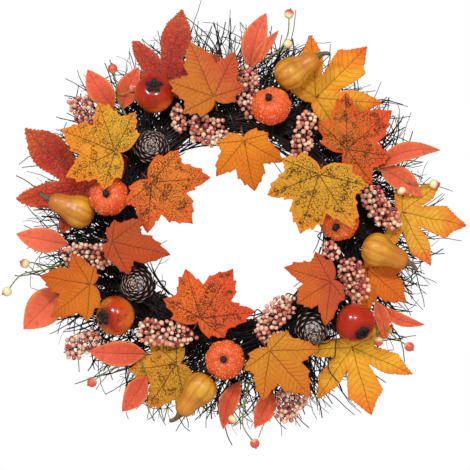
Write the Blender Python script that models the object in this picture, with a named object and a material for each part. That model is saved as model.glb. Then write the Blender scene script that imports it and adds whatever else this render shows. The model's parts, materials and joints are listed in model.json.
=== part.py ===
"""Harvest door wreath: a vine-and-twig ring dressed with silk leaves, foam fruit, cones and berries.

It hangs flat on a door in the XZ plane and faces -Y. The origin is the seat of the door hook, inside
the top of the steel hanging loop. Sizes are in millimetres and are scaled to metres by MM.
"""

import math
from collections import namedtuple

import bmesh
import bpy
from mathutils import Matrix, Vector

MM = 0.001
GAP = 0.3                    # clearance between pieces that touch

# ---- ring --------------------------------------------------------------------------------------
RING_RADIUS = 103.0          # centre line of the frame wire and of the vine bundle
FRAME_WIRE_RADIUS = 1.5      # 3 mm steel wire
VINE_RADIUS = 7.0            # each of the two twisted vines
VINE_TWISTS = 7              # full turns of one vine round the other
EYE_CLEARANCE = 0.4          # running clearance of the loop's eyes on the frame wire
LOOP_WIRE_RADIUS = 0.8       # 1.6 mm steel wire
LOOP_HALF_WIDTH = 11.0       # the loop's legs, either side of centre
LOOP_HEIGHT = 32.0           # hook seat above the eyes
BINDING_WIRE_RADIUS = 0.6
BINDING_TURNS = 16
BINDING_SLACK = 1.6          # how far the binding wire stands off what it wraps

# ---- twigs -------------------------------------------------------------------------------------
TWIG_FANS = 5
TWIG_TEETH = 9               # tufts along one fan
TWIG_VALLEY = 50.0           # solid part of the fan, outward from the ring's centre line
TWIG_TIP = 85.0              # mean reach of the tufts, outward from the ring's centre line
TWIG_TIP_SPREAD = 12.0
TWIG_LEAN = 7.0              # degrees that the tufts sweep clockwise
TWIG_BACK = 6.0              # back and thickness of a fan, forward of the frame wire
TWIG_THICKNESS = 14.0

# ---- decorations -------------------------------------------------------------------------------
LEAF_THICKNESS = 0.8
STUB_RADIUS = 1.1            # moulded stem behind each silk leaf
HIP_RADIUS = 4.6
PICK_STEM_RADIUS = 0.9
PUMPKIN_RADIUS = 19.0
PERSIMMON_RADIUS = 19.2
GOURD_LENGTH = 55.0
CONE_RADIUS = 15.6
CONE_LENGTH = 27.0

# ---- worked out --------------------------------------------------------------------------------
VINE_OFFSET = VINE_RADIUS + GAP
BUNDLE_RADIUS = VINE_OFFSET + VINE_RADIUS
EYE_RADIUS = FRAME_WIRE_RADIUS + EYE_CLEARANCE + LOOP_WIRE_RADIUS
EYE_REACH = EYE_RADIUS + LOOP_WIRE_RADIUS
BUNDLE_DEPTH = EYE_REACH + 1.5 + BUNDLE_RADIUS
WRAP_FRONT = BUNDLE_DEPTH + BUNDLE_RADIUS
WRAP_DEPTH = (WRAP_FRONT - FRAME_WIRE_RADIUS) / 2
WRAP_RADIUS = (WRAP_FRONT + FRAME_WIRE_RADIUS) / 2 + BINDING_SLACK
RING_FRONT = WRAP_DEPTH + WRAP_RADIUS + BINDING_WIRE_RADIUS
RING_HALF_WIDTH = WRAP_RADIUS + BINDING_WIRE_RADIUS
FAN_FRONT = TWIG_BACK + TWIG_THICKNESS
EYE_HEIGHT = math.sqrt(RING_RADIUS ** 2 - LOOP_HALF_WIDTH ** 2)
CENTRE_DROP = LOOP_HEIGHT + EYE_HEIGHT
OVER_PUMPKIN = 1.8 * PUMPKIN_RADIUS      # lift that carries a leaf over a pumpkin
OVER_PERSIMMON = 1.8 * PERSIMMON_RADIUS
PUMPKIN_SHIFT = PUMPKIN_RADIUS / 2       # degrees along the ring that a pumpkin's neighbours give way
PERSIMMON_SHIFT = PERSIMMON_RADIUS / 2

# A place on the ring: `angle` in degrees, counter-clockwise from +X as seen from the front; `out`, outward
# from the ring's centre line; `lift`, forward of the bound ring's front, to a leaf or a spray's middle
# or to a fruit's back. `turn` is the angle between the piece's own length and the outward radius;
# `pitch` raises its tip, `roll` raises its right side.
Leaf = namedtuple("Leaf", "name kind angle out lift turn length pitch roll")
Fruit = namedtuple("Fruit", "name angle out lift turn pitch")
Spray = namedtuple("Spray", "name angle out lift turn pitch length width thickness")
Blade = namedtuple("Blade", "angle out turn length width")
Pick = namedtuple("Pick", "name lift root fork hips blades")

LEAVES = [
    Leaf("red_leaf_1", "deep", 114, 52, -8, -36, 70, 0, 0),
    Leaf("red_leaf_2", "deep", 165, 42, -13, -29, 82, 0, 0),
    Leaf("golden_leaf_1", "deep", 57, 46, -11, -12, 69, 0, 0),
    Leaf("golden_leaf_2", "deep", 5, 62, -9, -17, 63, 0, 0),
    Leaf("golden_leaf_3", "deep", 315, 61, -9, -29, 68, 0, 0),
    Leaf("orange_leaf_1", "broad", 98, 22, OVER_PERSIMMON - 12.5, 16, 57, 0, -16),
    Leaf("orange_leaf_2", "broad", 82, -1 - PUMPKIN_RADIUS, 16, -160, 50, -4, 0),
    Leaf("orange_leaf_3", "broad", 211.6 - PERSIMMON_SHIFT, 43, 15, -32, 48, 0, 0),
    Leaf("orange_leaf_4", "broad", 187, 11, OVER_PUMPKIN, 160, 56, -8, 0),
    Leaf("orange_leaf_5", "broad", 333.4 + PERSIMMON_SHIFT, 33, -1, -24, 50, 0, 0),
    Leaf("orange_leaf_6", "broad", 321.4 + PERSIMMON_SHIFT, 4, OVER_PERSIMMON - 9.5, -118, 48, 0, 0),
    Leaf("orange_leaf_7", "broad", 277.5 + PUMPKIN_SHIFT, 20, OVER_PUMPKIN - 13, 25, 58, 0, 0),
    Leaf("speckled_leaf_1", "broad", 147, 29, OVER_PUMPKIN - 7, 12, 55, 0, -9),
    Leaf("speckled_leaf_2", "broad", 151, 3 - PUMPKIN_RADIUS, OVER_PUMPKIN - 12, 164, 55, 0, 4),
    Leaf("speckled_leaf_3", "broad", 34, 30, 5, 7, 56, 0, 0),
    Leaf("speckled_leaf_4", "broad", 31, -7, OVER_PUMPKIN - 3, -139, 60, 8, 0),
    Leaf("speckled_leaf_5", "broad", 251, 8 - PUMPKIN_RADIUS, 17, 166, 56, 0, 0),
    Leaf("speckled_leaf_6", "broad", 248, 39, -2, -61, 52, 0, 0),
]
PUMPKINS = [
    Fruit("pumpkin_1", 166, 18, 1.4, -30, 78),
    Fruit("pumpkin_2", 72, 18, 0, 40, 55),
    Fruit("pumpkin_3", 267, 24, -2.5, -120, 82),
    Fruit("pumpkin_4", 3, -1, 0.4, -120, 60),
]
PERSIMMONS = [
    Fruit("persimmon_1", 120, 45, -4.6, -30, 65),
    Fruit("persimmon_2", 217, 38, -9.2, -30, 45),
    Fruit("persimmon_3", 322, 47, -4.2, -20, 45),
]
GOURDS = [
    Fruit("gourd_1", 173.6, PUMPKIN_RADIUS + 0.6 * GOURD_LENGTH - 3, -11.6, -15, 8),
    Fruit("gourd_2", 68, 39 + PUMPKIN_RADIUS, -8.6, -36, 4),
    Fruit("gourd_3", 350.5, 42, 0.4, -13, 4),
    Fruit("gourd_4", 257.9, 59, -3.6, -26, 4),
]
CONES = [
    Fruit("pine_cone_1", 135, 6, 0.9, -60, 80),
    Fruit("pine_cone_2", 211, 3, 1.4, -60, 80),
    Fruit("pine_cone_3", 308, 22, -0.9, -30, 70),
]
BERRIES = [
    Spray("berry_spray_1", 142, 78, -4, 164, 0, 34, 22, 12),
    Spray("berry_spray_2", 116, 13, 8, 161, 0, 28, 14, 12),
    Spray("berry_spray_3", 104, -8, 7, -120, 0, 40, 30, 12),
    Spray("berry_spray_4", 73.5 + PUMPKIN_SHIFT, 28, 2, -175, -8, 52, 20, 12),
    Spray("berry_spray_5", 52, 8, 8, -156, 0, 52, 20, 13),
    Spray("berry_spray_6", 191, 36, 5, 168, 4, 62, 24, 13),
    Spray("berry_spray_7", 218, 80, -8, 167, 0, 40, 24, 13),
    Spray("berry_spray_8", 238, 17, 8, 114, 0, 56, 26, 13),
    Spray("berry_spray_9", 295, -7, 8, 120, 0, 54, 26, 13),
    Spray("berry_spray_10", 8, 39, 3, -59, 0, 56, 26, 13),
    Spray("berry_spray_11", 326.4 + PERSIMMON_SHIFT, 25, 8, -48, 0, 48, 26, 13),
]
PICKS = [
    Pick("rosehip_pick_1", -3, (134, 40), (131, 66), [(127, 88), (125, 61)],
         [Blade(135, 58, -14, 46, 24), Blade(133, 52, -61, 44, 22)]),
    Pick("rosehip_pick_2", -8, (192, 50), (193, 83), [(190, 100), (196, 123)],
         [Blade(186, 56, -20, 52, 24), Blade(200, 70, 24, 56, 34)]),
    Pick("rosehip_pick_3", -8, (85, 50), (75, 73), [(75, 110), (73, 82)],
         [Blade(84, 50, -12, 58, 24), Blade(83, 51, -26, 46, 11)]),
    Pick("rosehip_pick_4", -3, (22, 46), (18, 62), [(12, 96), (12, 64)],
         [Blade(22, 46, -4, 66, 18), Blade(22, 50, -56, 50, 22)]),
    Pick("rosehip_pick_5", 1, (236, 44), (230, 74), [(228, 98)],
         [Blade(236, 44, -61, 56, 25), Blade(240, 62, -6, 42, 22)]),
    Pick("rosehip_pick_6", -8, (277, 45), (274, 68), [(270, 83), (276, 107)],
         [Blade(273, 46, -24, 50, 18), Blade(284, 60, -43, 40, 20)]),
    Pick("rosehip_pick_7", -3, (333, 52), (328, 66), [(322, 76), (326, 103)],
         [Blade(333, 52, -46, 40, 14), Blade(332, 58, 2, 48, 12)]),
]

# Half outlines of the silk leaves, from the tip to the stem: (degrees from the midrib, share of length).
LEAF_OUTLINES = {
    "broad": [(0, 1.0), (10, 0.76), (16, 0.72), (24, 0.50), (36, 0.68), (48, 0.90), (56, 0.66),
              (70, 0.48), (82, 0.60), (94, 0.68), (108, 0.46), (130, 0.44), (155, 0.24), (180, 0.12)],
    "deep": [(0, 1.0), (8, 0.80), (16, 0.66), (17, 0.46), (25, 0.27), (36, 0.52), (50, 0.86),
             (59, 0.56), (66, 0.36), (78, 0.28), (92, 0.44), (104, 0.58), (120, 0.34), (150, 0.20),
             (180, 0.12)],
}
# Half outline of the small coral leaves: (share of length, share of half the width).
BLADE_OUTLINE = [(0.0, 0.04), (0.12, 0.50), (0.32, 0.96), (0.52, 1.0), (0.76, 0.62), (1.0, 0.0)]


# ---- helpers -----------------------------------------------------------------------------------
def clear_scene():
    for obj in list(bpy.data.objects):
        bpy.data.objects.remove(obj, do_unlink=True)


def material(name, color, roughness, metallic=0.0):
    made = bpy.data.materials.new(name)
    made.use_nodes = True
    shader = made.node_tree.nodes["Principled BSDF"]
    shader.inputs["Base Color"].default_value = (*color, 1.0)
    shader.inputs["Roughness"].default_value = roughness
    shader.inputs["Metallic"].default_value = metallic
    return made


def add_object(name, data, finish, parent):
    obj = bpy.data.objects.new(name, data)
    bpy.context.scene.collection.objects.link(obj)
    data.materials.append(finish)
    obj.parent = parent
    return obj


def add_empty(name, location, parent=None):
    empty = bpy.data.objects.new(name, None)
    bpy.context.scene.collection.objects.link(empty)
    empty.location = Vector(location) * MM
    empty.parent = parent
    return empty


def mesh_from(name, bm, smooth=True):
    bmesh.ops.recalc_face_normals(bm, faces=bm.faces[:])
    data = bpy.data.meshes.new(name)
    bm.to_mesh(data)
    bm.free()
    if smooth:
        data.shade_smooth()
        data.set_sharp_from_angle(angle=math.radians(40))
    return data


def polar(angle, out, depth):
    """A point of the wreath, measured from the ring's centre: `depth` is forward of the frame wire."""
    a = math.radians(angle)
    r = RING_RADIUS + out
    return Vector((r * math.cos(a), -depth, r * math.sin(a)))


def pose(angle, turn, pitch=0.0, roll=0.0):
    """Rotation that lays a piece's +Y along its heading and its +Z towards the viewer."""
    heading_angle = math.radians(angle + turn)
    flat = Vector((math.cos(heading_angle), 0, math.sin(heading_angle)))
    front = Vector((0, -1, 0))
    p, r = math.radians(pitch), math.radians(roll)
    heading = flat * math.cos(p) + front * math.sin(p)
    normal = front * math.cos(p) - flat * math.sin(p)
    side = heading.cross(normal)
    right = side * math.cos(r) + normal * math.sin(r)
    normal = normal * math.cos(r) - side * math.sin(r)
    return Matrix((right, heading, normal)).transposed().to_quaternion()


def place(obj, location, rotation):
    obj.location = location * MM
    obj.rotation_mode = "QUATERNION"
    obj.rotation_quaternion = rotation


def wire(name, points, radius, finish, parent, closed=False, sides=6):
    """A round wire along a line of points; `sides` is an even number from 4."""
    curve = bpy.data.curves.new(name, "CURVE")
    curve.dimensions = "3D"
    curve.bevel_depth = radius * MM
    curve.bevel_resolution = (sides - 4) // 2
    curve.use_fill_caps = not closed
    spline = curve.splines.new("POLY")
    spline.points.add(len(points) - 1)
    for point, co in zip(spline.points, points):
        point.co = (*(Vector(co) * MM), 1.0)
    spline.use_cyclic_u = closed
    return add_object(name, curve, finish, parent)


def turned_mesh(name, profile, sides, ribs=0, rib_depth=0.0, flatten=1.0):
    """A turned solid about +Y. The profile runs from one pole to the other as (along, radius).

    Ribs pull the surface in between `ribs` segments, and `flatten` thins it along +Z.
    """
    bm = bmesh.new()
    rings = []
    for along, radius in profile[1:-1]:
        ring = []
        for i in range(sides):
            a = 2 * math.pi * i / sides
            r = radius * (1 - rib_depth * (0.5 - 0.5 * math.cos(ribs * a))) if ribs else radius
            ring.append(bm.verts.new(Vector((r * math.cos(a), along, flatten * r * math.sin(a))) * MM))
        rings.append(ring)
    start = bm.verts.new(Vector((0, profile[0][0], 0)) * MM)
    end = bm.verts.new(Vector((0, profile[-1][0], 0)) * MM)
    for i in range(sides):
        j = (i + 1) % sides
        bm.faces.new((start, rings[0][i], rings[0][j]))
        bm.faces.new((end, rings[-1][j], rings[-1][i]))
        for low, high in zip(rings, rings[1:]):
            bm.faces.new((low[i], high[i], high[j], low[j]))
    return mesh_from(name, bm)


def plate_mesh(name, outline, thickness):
    """A flat plate of the outline, in the XY plane, with its front face at z = 0."""
    bm = bmesh.new()
    face = bm.faces.new([bm.verts.new(Vector((x, y, 0)) * MM) for x, y in outline])
    grown = bmesh.ops.extrude_face_region(bm, geom=[face])
    moved = [v for v in grown["geom"] if isinstance(v, bmesh.types.BMVert)]
    bmesh.ops.translate(bm, verts=moved, vec=(0, 0, -thickness * MM))
    return mesh_from(name, bm, smooth=False)


def rod_mesh(name, start, end, radius, sides=5):
    """A plain round rod between two points."""
    line = Vector(end) - Vector(start)
    bm = bmesh.new()
    bmesh.ops.create_cone(bm, cap_ends=True, segments=sides, radius1=radius * MM, radius2=radius * MM,
                          depth=line.length * MM)
    turn = line.to_track_quat("Z", "Y").to_matrix().to_4x4()
    middle = Matrix.Translation((Vector(start) + Vector(end)) / 2 * MM)
    bmesh.ops.transform(bm, matrix=middle @ turn, verts=bm.verts[:])
    return mesh_from(name, bm)


def union(obj, tool_mesh, location=None, rotation=None):
    """Joins a helper mesh to obj with a Boolean; the helper shares obj's own space."""
    tool = bpy.data.objects.new(tool_mesh.name, tool_mesh)
    bpy.context.scene.collection.objects.link(tool)
    tool.parent = obj
    if location is not None:
        place(tool, location, rotation)
    tool.hide_render = True
    tool.display_type = "WIRE"
    modifier = obj.modifiers.new(tool_mesh.name, "BOOLEAN")
    modifier.operation = "UNION"
    modifier.solver = "EXACT"
    modifier.object = tool


# ---- ring --------------------------------------------------------------------------------------
def add_frame_ring(centre, steel):
    steps = 60
    points = [polar(360 * i / steps, 0, 0) for i in range(steps)]
    return wire("frame_ring", points, FRAME_WIRE_RADIUS, steel, centre, closed=True)


def vine_path(phase):
    steps = VINE_TWISTS * 10
    points = []
    for i in range(steps):
        angle = 360 * i / steps
        twist = math.radians(VINE_TWISTS * angle + phase)
        points.append(polar(angle, VINE_OFFSET * math.cos(twist),
                            BUNDLE_DEPTH + VINE_OFFSET * math.sin(twist)))
    return points


def add_vines(centre, bark):
    for number, phase in enumerate((0, 180), start=1):
        wire(f"vine_{number}", vine_path(phase), VINE_RADIUS, bark, centre, closed=True, sides=8)


def add_binding_wire(centre, steel):
    """One wire wound round the frame ring and the vines, with a clear stretch at the hanging loop."""
    per_turn = 10
    steps = BINDING_TURNS * per_turn
    points = []
    for i in range(steps):
        angle = 360 * i / steps
        wind = math.radians(BINDING_TURNS * (angle - 90))
        points.append(polar(angle, WRAP_RADIUS * math.sin(wind),
                            WRAP_DEPTH + WRAP_RADIUS * math.cos(wind)))
    return wire("binding_wire", points, BINDING_WIRE_RADIUS, steel, centre, closed=True, sides=4)


def add_hanging_loop(steel):
    """The steel loop, from one eye on the frame wire, over the top, to the other eye."""
    arc_steps, eye_steps, eye_turn = 12, 9, math.radians(310)
    seat_radius = LOOP_HALF_WIDTH
    arc_height = LOOP_WIRE_RADIUS - seat_radius
    half = []
    for i in range(eye_steps + 1):
        a = eye_turn * (1 - i / eye_steps)
        half.append(Vector((LOOP_HALF_WIDTH, EYE_RADIUS * math.cos(a), EYE_RADIUS * math.sin(-a) - LOOP_HEIGHT)))
    half.append(Vector((LOOP_HALF_WIDTH, EYE_RADIUS * 0.6, EYE_RADIUS * 1.2 - LOOP_HEIGHT)))
    half.append(Vector((LOOP_HALF_WIDTH, 0, EYE_RADIUS * 2.6 - LOOP_HEIGHT)))
    for i in range(arc_steps // 2 + 1):
        a = math.pi * i / arc_steps
        half.append(Vector((seat_radius * math.cos(a), 0, arc_height + seat_radius * math.sin(a))))
    mirrored = [Vector((-p.x, p.y, p.z)) for p in reversed(half[:-1])]
    pivot = add_empty("hanging_loop_pivot", (0, 0, -LOOP_HEIGHT))
    points = [p + Vector((0, 0, LOOP_HEIGHT)) for p in half + mirrored]
    return wire("hanging_loop", points, LOOP_WIRE_RADIUS, steel, pivot, sides=6)


def add_twig_fans(centre, bark):
    """Fans of twigs bound round the outside of the ring, each a plate with a tufted edge."""
    sweep = 360 / TWIG_FANS
    root = RING_HALF_WIDTH + GAP
    edge_gap = 0.4
    for number in range(TWIG_FANS):
        start = number * sweep + edge_gap
        span = sweep - 2 * edge_gap
        outline = []
        for i in range(TWIG_TEETH + 1):
            valley = start + span * i / TWIG_TEETH
            outline.append(polar(valley, TWIG_VALLEY, 0))
            if i < TWIG_TEETH:
                reach = TWIG_TIP + TWIG_TIP_SPREAD * math.sin(2.4 * (i + TWIG_TEETH * number))
                lean = max(valley + 0.5 * span / TWIG_TEETH - TWIG_LEAN, start)
                outline.append(polar(lean, reach, 0))
        steps = 10
        outline += [polar(start + span * (1 - i / steps), root, 0) for i in range(steps + 1)]
        data = plate_mesh(f"twig_fan_{number + 1}", [(p.x, p.z) for p in outline], TWIG_THICKNESS)
        fan = add_object(f"twig_fan_{number + 1}", data, bark, centre)
        place(fan, Vector((0, -FAN_FRONT, 0)), pose(0, 90))


# ---- decorations -------------------------------------------------------------------------------
def seat_depth(out):
    """Depth of what lies behind a decoration: the bound ring, or the twig fans outside it."""
    return RING_FRONT if abs(out) < RING_HALF_WIDTH + 2 * STUB_RADIUS else FAN_FRONT


def leaf_outline(kind, length):
    half = LEAF_OUTLINES[kind]
    right = [(math.radians(a), length * r) for a, r in half]
    whole = right + [(-a, r) for a, r in reversed(right[1:-1])]
    return [(r * math.sin(a), r * math.cos(a)) for a, r in whole]


def add_leaf(leaf, centre, finish):
    depth = RING_FRONT + leaf.lift
    data = plate_mesh(leaf.name, leaf_outline(leaf.kind, leaf.length), LEAF_THICKNESS)
    obj = add_object(leaf.name, data, finish, centre)
    tilt = math.cos(math.radians(leaf.pitch)) * math.cos(math.radians(leaf.roll))
    stub = (depth - seat_depth(leaf.out) - GAP) * tilt - STUB_RADIUS
    union(obj, rod_mesh(f"{leaf.name}_stub", (0, 0, -stub), (0, 0, -LEAF_THICKNESS / 2), STUB_RADIUS))
    place(obj, polar(leaf.angle, leaf.out, depth), pose(leaf.angle, leaf.turn, leaf.pitch, leaf.roll))


def add_turned(item, centre, finish, data, half_length=0.0, radius=0.0):
    """Places a turned solid; half_length and radius give how far its middle is from its back."""
    tilt = math.radians(item.pitch)
    back = math.hypot(half_length * math.sin(tilt), radius * math.cos(tilt))
    obj = add_object(item.name, data, finish, centre)
    place(obj, polar(item.angle, item.out, RING_FRONT + item.lift + back),
          pose(item.angle, item.turn, item.pitch))


def pumpkin_profile():
    r = PUMPKIN_RADIUS
    body = [(0.76 * r * math.cos(math.radians(a)), r * math.sin(math.radians(a))) for a in (150, 120, 90, 60, 34)]
    stem = [(0.56 * r, 0.16 * r), (0.90 * r, 0.12 * r)]
    return [(-0.62 * r, 0)] + body + stem + [(0.92 * r, 0)]


def persimmon_profile():
    r = PERSIMMON_RADIUS
    body = [(0.90 * r * math.cos(math.radians(a)), r * math.sin(math.radians(a))) for a in (155, 125, 95, 65, 38)]
    calyx = [(0.88 * r, 0.46 * r), (0.72 * r, 0.20 * r), (0.92 * r, 0.08 * r)]
    return [(-0.88 * r, 0)] + body + calyx + [(0.96 * r, 0)]


def gourd_profile():
    size = GOURD_LENGTH
    shape = [(-0.33, 0.145), (-0.24, 0.245), (-0.09, 0.295), (0.06, 0.255), (0.17, 0.185), (0.32, 0.17),
             (0.43, 0.13), (0.49, 0.04), (0.66, 0.032)]
    return [(-0.34 * size, 0)] + [(a * size, r * size) for a, r in shape] + [(0.67 * size, 0)]


def cone_profile():
    """Stepped like overlapping scales, from the flat base to the tip."""
    rows = 4
    profile = [(-CONE_LENGTH / 2, 0)]
    for row in range(rows):
        share = row / rows
        radius = CONE_RADIUS * math.cos(0.42 * math.pi * share)
        start = -CONE_LENGTH / 2 + CONE_LENGTH * share * 0.92
        profile += [(start + 0.3, 0.80 * radius), (start + 0.14 * CONE_LENGTH, radius)]
    return profile + [(CONE_LENGTH / 2, 0)]


def spray_profile(spray):
    """A lumpy spindle that holds a spray of berries."""
    shape = [(0.04, 0.55), (0.22, 1.0), (0.45, 0.86), (0.70, 1.0), (0.94, 0.50)]
    inside = [(spray.length * (a - 0.5), spray.width / 2 * r) for a, r in shape]
    return [(-spray.length / 2, 0)] + inside + [(spray.length / 2, 0)]


def blade_outline(blade):
    right = [(blade.width / 2 * w, blade.length * a) for a, w in BLADE_OUTLINE]
    return right + [(-x, y) for x, y in reversed(right[:-1])]


def add_pick(pick, centre, finish):
    """A forked stem with rose hips at its ends and two coral leaves, moulded together."""
    depth = RING_FRONT + pick.lift
    root, fork = (polar(*at, depth) for at in (pick.root, pick.fork))
    obj = add_object(pick.name, rod_mesh(pick.name, root, fork, PICK_STEM_RADIUS), finish, centre)
    hip_profile = [(HIP_RADIUS * math.cos(math.radians(a)), HIP_RADIUS * math.sin(math.radians(a)))
                   for a in (180, 135, 90, 45, 0)]
    for number, at in enumerate(pick.hips, start=1):
        end = polar(*at, depth)
        back = (fork - root).normalized() * PICK_STEM_RADIUS
        union(obj, rod_mesh(f"{pick.name}_branch_{number}", fork - back, end, PICK_STEM_RADIUS * 0.85))
        union(obj, turned_mesh(f"{pick.name}_hip_{number}", hip_profile, 7), end, pose(at[0], 0))
    for number, blade in enumerate(pick.blades, start=1):
        base = polar(blade.angle, blade.out, depth - LEAF_THICKNESS / 2)
        near = root + (fork - root) * 0.25
        union(obj, rod_mesh(f"{pick.name}_stalk_{number}", near, base, PICK_STEM_RADIUS * 0.8))
        shape = plate_mesh(f"{pick.name}_blade_{number}", blade_outline(blade), LEAF_THICKNESS)
        union(obj, shape, base + Vector((0, -LEAF_THICKNESS / 2, 0)), pose(blade.angle, blade.turn))


def build():
    clear_scene()
    steel = material("steel_wire", (0.20, 0.19, 0.18), 0.45, 0.9)
    bark = material("dark_bark", (0.055, 0.040, 0.035), 0.85)
    leaf_finish = {
        "red": material("red_silk", (0.52, 0.07, 0.03), 0.8),
        "golden": material("golden_silk", (0.86, 0.42, 0.05), 0.75),
        "orange": material("orange_silk", (0.78, 0.24, 0.04), 0.75),
        "speckled": material("speckled_silk", (0.80, 0.32, 0.04), 0.75),
    }
    centre = add_empty("wreath_centre", (0, 0, -CENTRE_DROP))
    add_frame_ring(centre, steel)
    add_vines(centre, bark)
    add_binding_wire(centre, steel)
    add_hanging_loop(steel)
    add_twig_fans(centre, bark)
    for leaf in LEAVES:
        add_leaf(leaf, centre, leaf_finish[leaf.name.split("_")[0]])
    foam = material("pumpkin_foam", (0.85, 0.16, 0.03), 0.4)
    lacquer = material("persimmon_foam", (0.60, 0.06, 0.02), 0.18)
    satin = material("gourd_foam", (0.80, 0.38, 0.04), 0.5)
    scales = material("cone_scales", (0.10, 0.06, 0.05), 0.8)
    groups = (
        (PUMPKINS, foam, turned_mesh("pumpkin", pumpkin_profile(), 14, ribs=7, rib_depth=0.12),
         0.76 * PUMPKIN_RADIUS, PUMPKIN_RADIUS),
        (PERSIMMONS, lacquer, turned_mesh("persimmon", persimmon_profile(), 12),
         0.90 * PERSIMMON_RADIUS, PERSIMMON_RADIUS),
        (GOURDS, satin, turned_mesh("gourd", gourd_profile(), 10), 0.34 * GOURD_LENGTH, 0.295 * GOURD_LENGTH),
        (CONES, scales, turned_mesh("pine_cone", cone_profile(), 9), CONE_LENGTH / 2, CONE_RADIUS),
    )
    for items, finish, shape, half_length, radius in groups:
        for item in items:
            add_turned(item, centre, finish, shape, half_length, radius)
    pearl = material("berry_pearl", (0.80, 0.42, 0.30), 0.3)
    for spray in BERRIES:
        shape = turned_mesh(spray.name, spray_profile(spray), 8, flatten=spray.thickness / spray.width)
        add_turned(spray, centre, pearl, shape)
    coral = material("coral_leaf_and_hip", (0.82, 0.16, 0.08), 0.5)
    for pick in PICKS:
        add_pick(pick, centre, coral)


build()
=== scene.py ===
"""Looks of the harvest door wreath, built around its packed CAD frame.

Each piece is made by an operator of its own. Places and sizes are read from the frame's nodes.
"""

import json
import math
import random
from collections import namedtuple

import bmesh
import bpy
import numpy as np
from bpy.props import FloatProperty, FloatVectorProperty, IntProperty, PointerProperty
from mathutils import Matrix, Vector, noise
from mathutils.geometry import delaunay_2d_cdt


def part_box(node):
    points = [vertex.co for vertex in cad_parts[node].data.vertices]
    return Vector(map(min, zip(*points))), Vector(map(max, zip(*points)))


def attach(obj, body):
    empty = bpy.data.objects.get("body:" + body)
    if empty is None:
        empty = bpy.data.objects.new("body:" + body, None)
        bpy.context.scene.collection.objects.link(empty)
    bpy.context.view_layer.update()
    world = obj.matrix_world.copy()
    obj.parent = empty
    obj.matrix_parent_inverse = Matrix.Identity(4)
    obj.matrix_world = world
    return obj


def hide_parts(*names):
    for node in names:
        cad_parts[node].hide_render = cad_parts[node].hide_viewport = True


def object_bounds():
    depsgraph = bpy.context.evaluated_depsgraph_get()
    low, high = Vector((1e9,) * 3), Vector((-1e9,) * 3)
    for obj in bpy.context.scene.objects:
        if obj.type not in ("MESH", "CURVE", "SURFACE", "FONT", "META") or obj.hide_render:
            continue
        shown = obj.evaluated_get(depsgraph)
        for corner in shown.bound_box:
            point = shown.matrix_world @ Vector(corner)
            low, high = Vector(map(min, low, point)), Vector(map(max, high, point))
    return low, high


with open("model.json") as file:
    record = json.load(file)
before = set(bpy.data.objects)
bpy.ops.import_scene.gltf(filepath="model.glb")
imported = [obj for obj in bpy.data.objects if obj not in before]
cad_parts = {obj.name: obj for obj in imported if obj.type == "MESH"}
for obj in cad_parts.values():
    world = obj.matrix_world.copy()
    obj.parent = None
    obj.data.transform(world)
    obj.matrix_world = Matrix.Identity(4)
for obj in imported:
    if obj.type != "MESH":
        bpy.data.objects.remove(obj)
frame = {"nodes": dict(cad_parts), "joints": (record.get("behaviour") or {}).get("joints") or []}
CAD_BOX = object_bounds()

bl_info = {
    "name": "Harvest Door Wreath",
    "version": (1, 0, 0),
    "blender": (4, 5, 0),
    "location": "View3D > Sidebar > Wreath",
    "description": "Builds a vine and twig door wreath with silk leaves, foam fruit, cones and berries",
    "category": "Add Mesh",
}

MM = 0.001
BODY = "wreath"
LOOP_BODY = "hanging_loop"
GOLDEN_ANGLE = math.pi * (3 - math.sqrt(5))


# ---- sizes read from the frame -----------------------------------------------------------------
def box_of(*nodes):
    corners = [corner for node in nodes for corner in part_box(node)]
    low = Vector(tuple(min(c[i] for c in corners) for i in range(3)))
    high = Vector(tuple(max(c[i] for c in corners) for i in range(3)))
    return low, high


RING_LOW, RING_HIGH = box_of("frame_ring")
RING_WIRE = (RING_HIGH.y - RING_LOW.y) / 2
RING_RADIUS = (RING_HIGH.x - RING_LOW.x) / 2 - RING_WIRE
RING_CENTRE = (RING_LOW + RING_HIGH) / 2
VINE_LOW, VINE_HIGH = box_of("vine_1", "vine_2")
BUNDLE_RADIUS = (VINE_HIGH.y - VINE_LOW.y) / 2
BUNDLE_DEPTH = -(VINE_HIGH.y + VINE_LOW.y) / 2
WRAP_LOW, WRAP_HIGH = box_of("binding_wire")
FAN_LOW, FAN_HIGH = box_of(*(f"twig_fan_{i}" for i in range(1, 6)))


def polar(angle, radius, depth):
    """A point at so many degrees counter-clockwise from +X, at a radius from the ring's centre."""
    a = math.radians(angle)
    return Vector((RING_CENTRE.x + radius * math.cos(a), -depth, RING_CENTRE.z + radius * math.sin(a)))


def dye(red, green, blue):
    """A colour as a paint chart gives it, 0 to 255, turned into linear light."""
    def linear(level):
        level /= 255
        return level / 12.92 if level <= 0.04045 else ((level + 0.055) / 1.055) ** 2.4
    return linear(red), linear(green), linear(blue)


# ---- what a user would change ------------------------------------------------------------------
def length(name, millimetres, description):
    return FloatProperty(name=name, description=description, default=millimetres * MM, min=0.0,
                         unit="LENGTH", precision=4)


def tint(name, chart, description):
    return FloatVectorProperty(name=name, description=description, default=dye(*chart), subtype="COLOR",
                               size=3, min=0.0, max=1.0)


class WreathRingSettings(bpy.types.PropertyGroup):
    vine_twists: IntProperty(name="Vine twists", description="Turns of one vine round the other",
                             default=7, min=1)
    strand_radius: length("Strand radius", 1.9, "Radius of a single strand of vine")
    bark: tint("Bark", (52, 36, 31), "Colour of the vines' bark")
    wire: tint("Wire", (98, 92, 88), "Colour of the steel wire")


class WreathTwigSettings(bpy.types.PropertyGroup):
    per_fan: IntProperty(name="Twigs in a fan", description="Long twigs bound into each fifth of the ring",
                         default=215, min=2)
    root_radius: length("Root radius", 0.88, "Radius of a twig at its thick end")
    lean: FloatProperty(name="Lean", description="How far the twigs sweep clockwise from straight out",
                        default=math.radians(36), subtype="ANGLE")
    bark: tint("Bark", (43, 32, 30), "Colour of the twigs")


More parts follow.
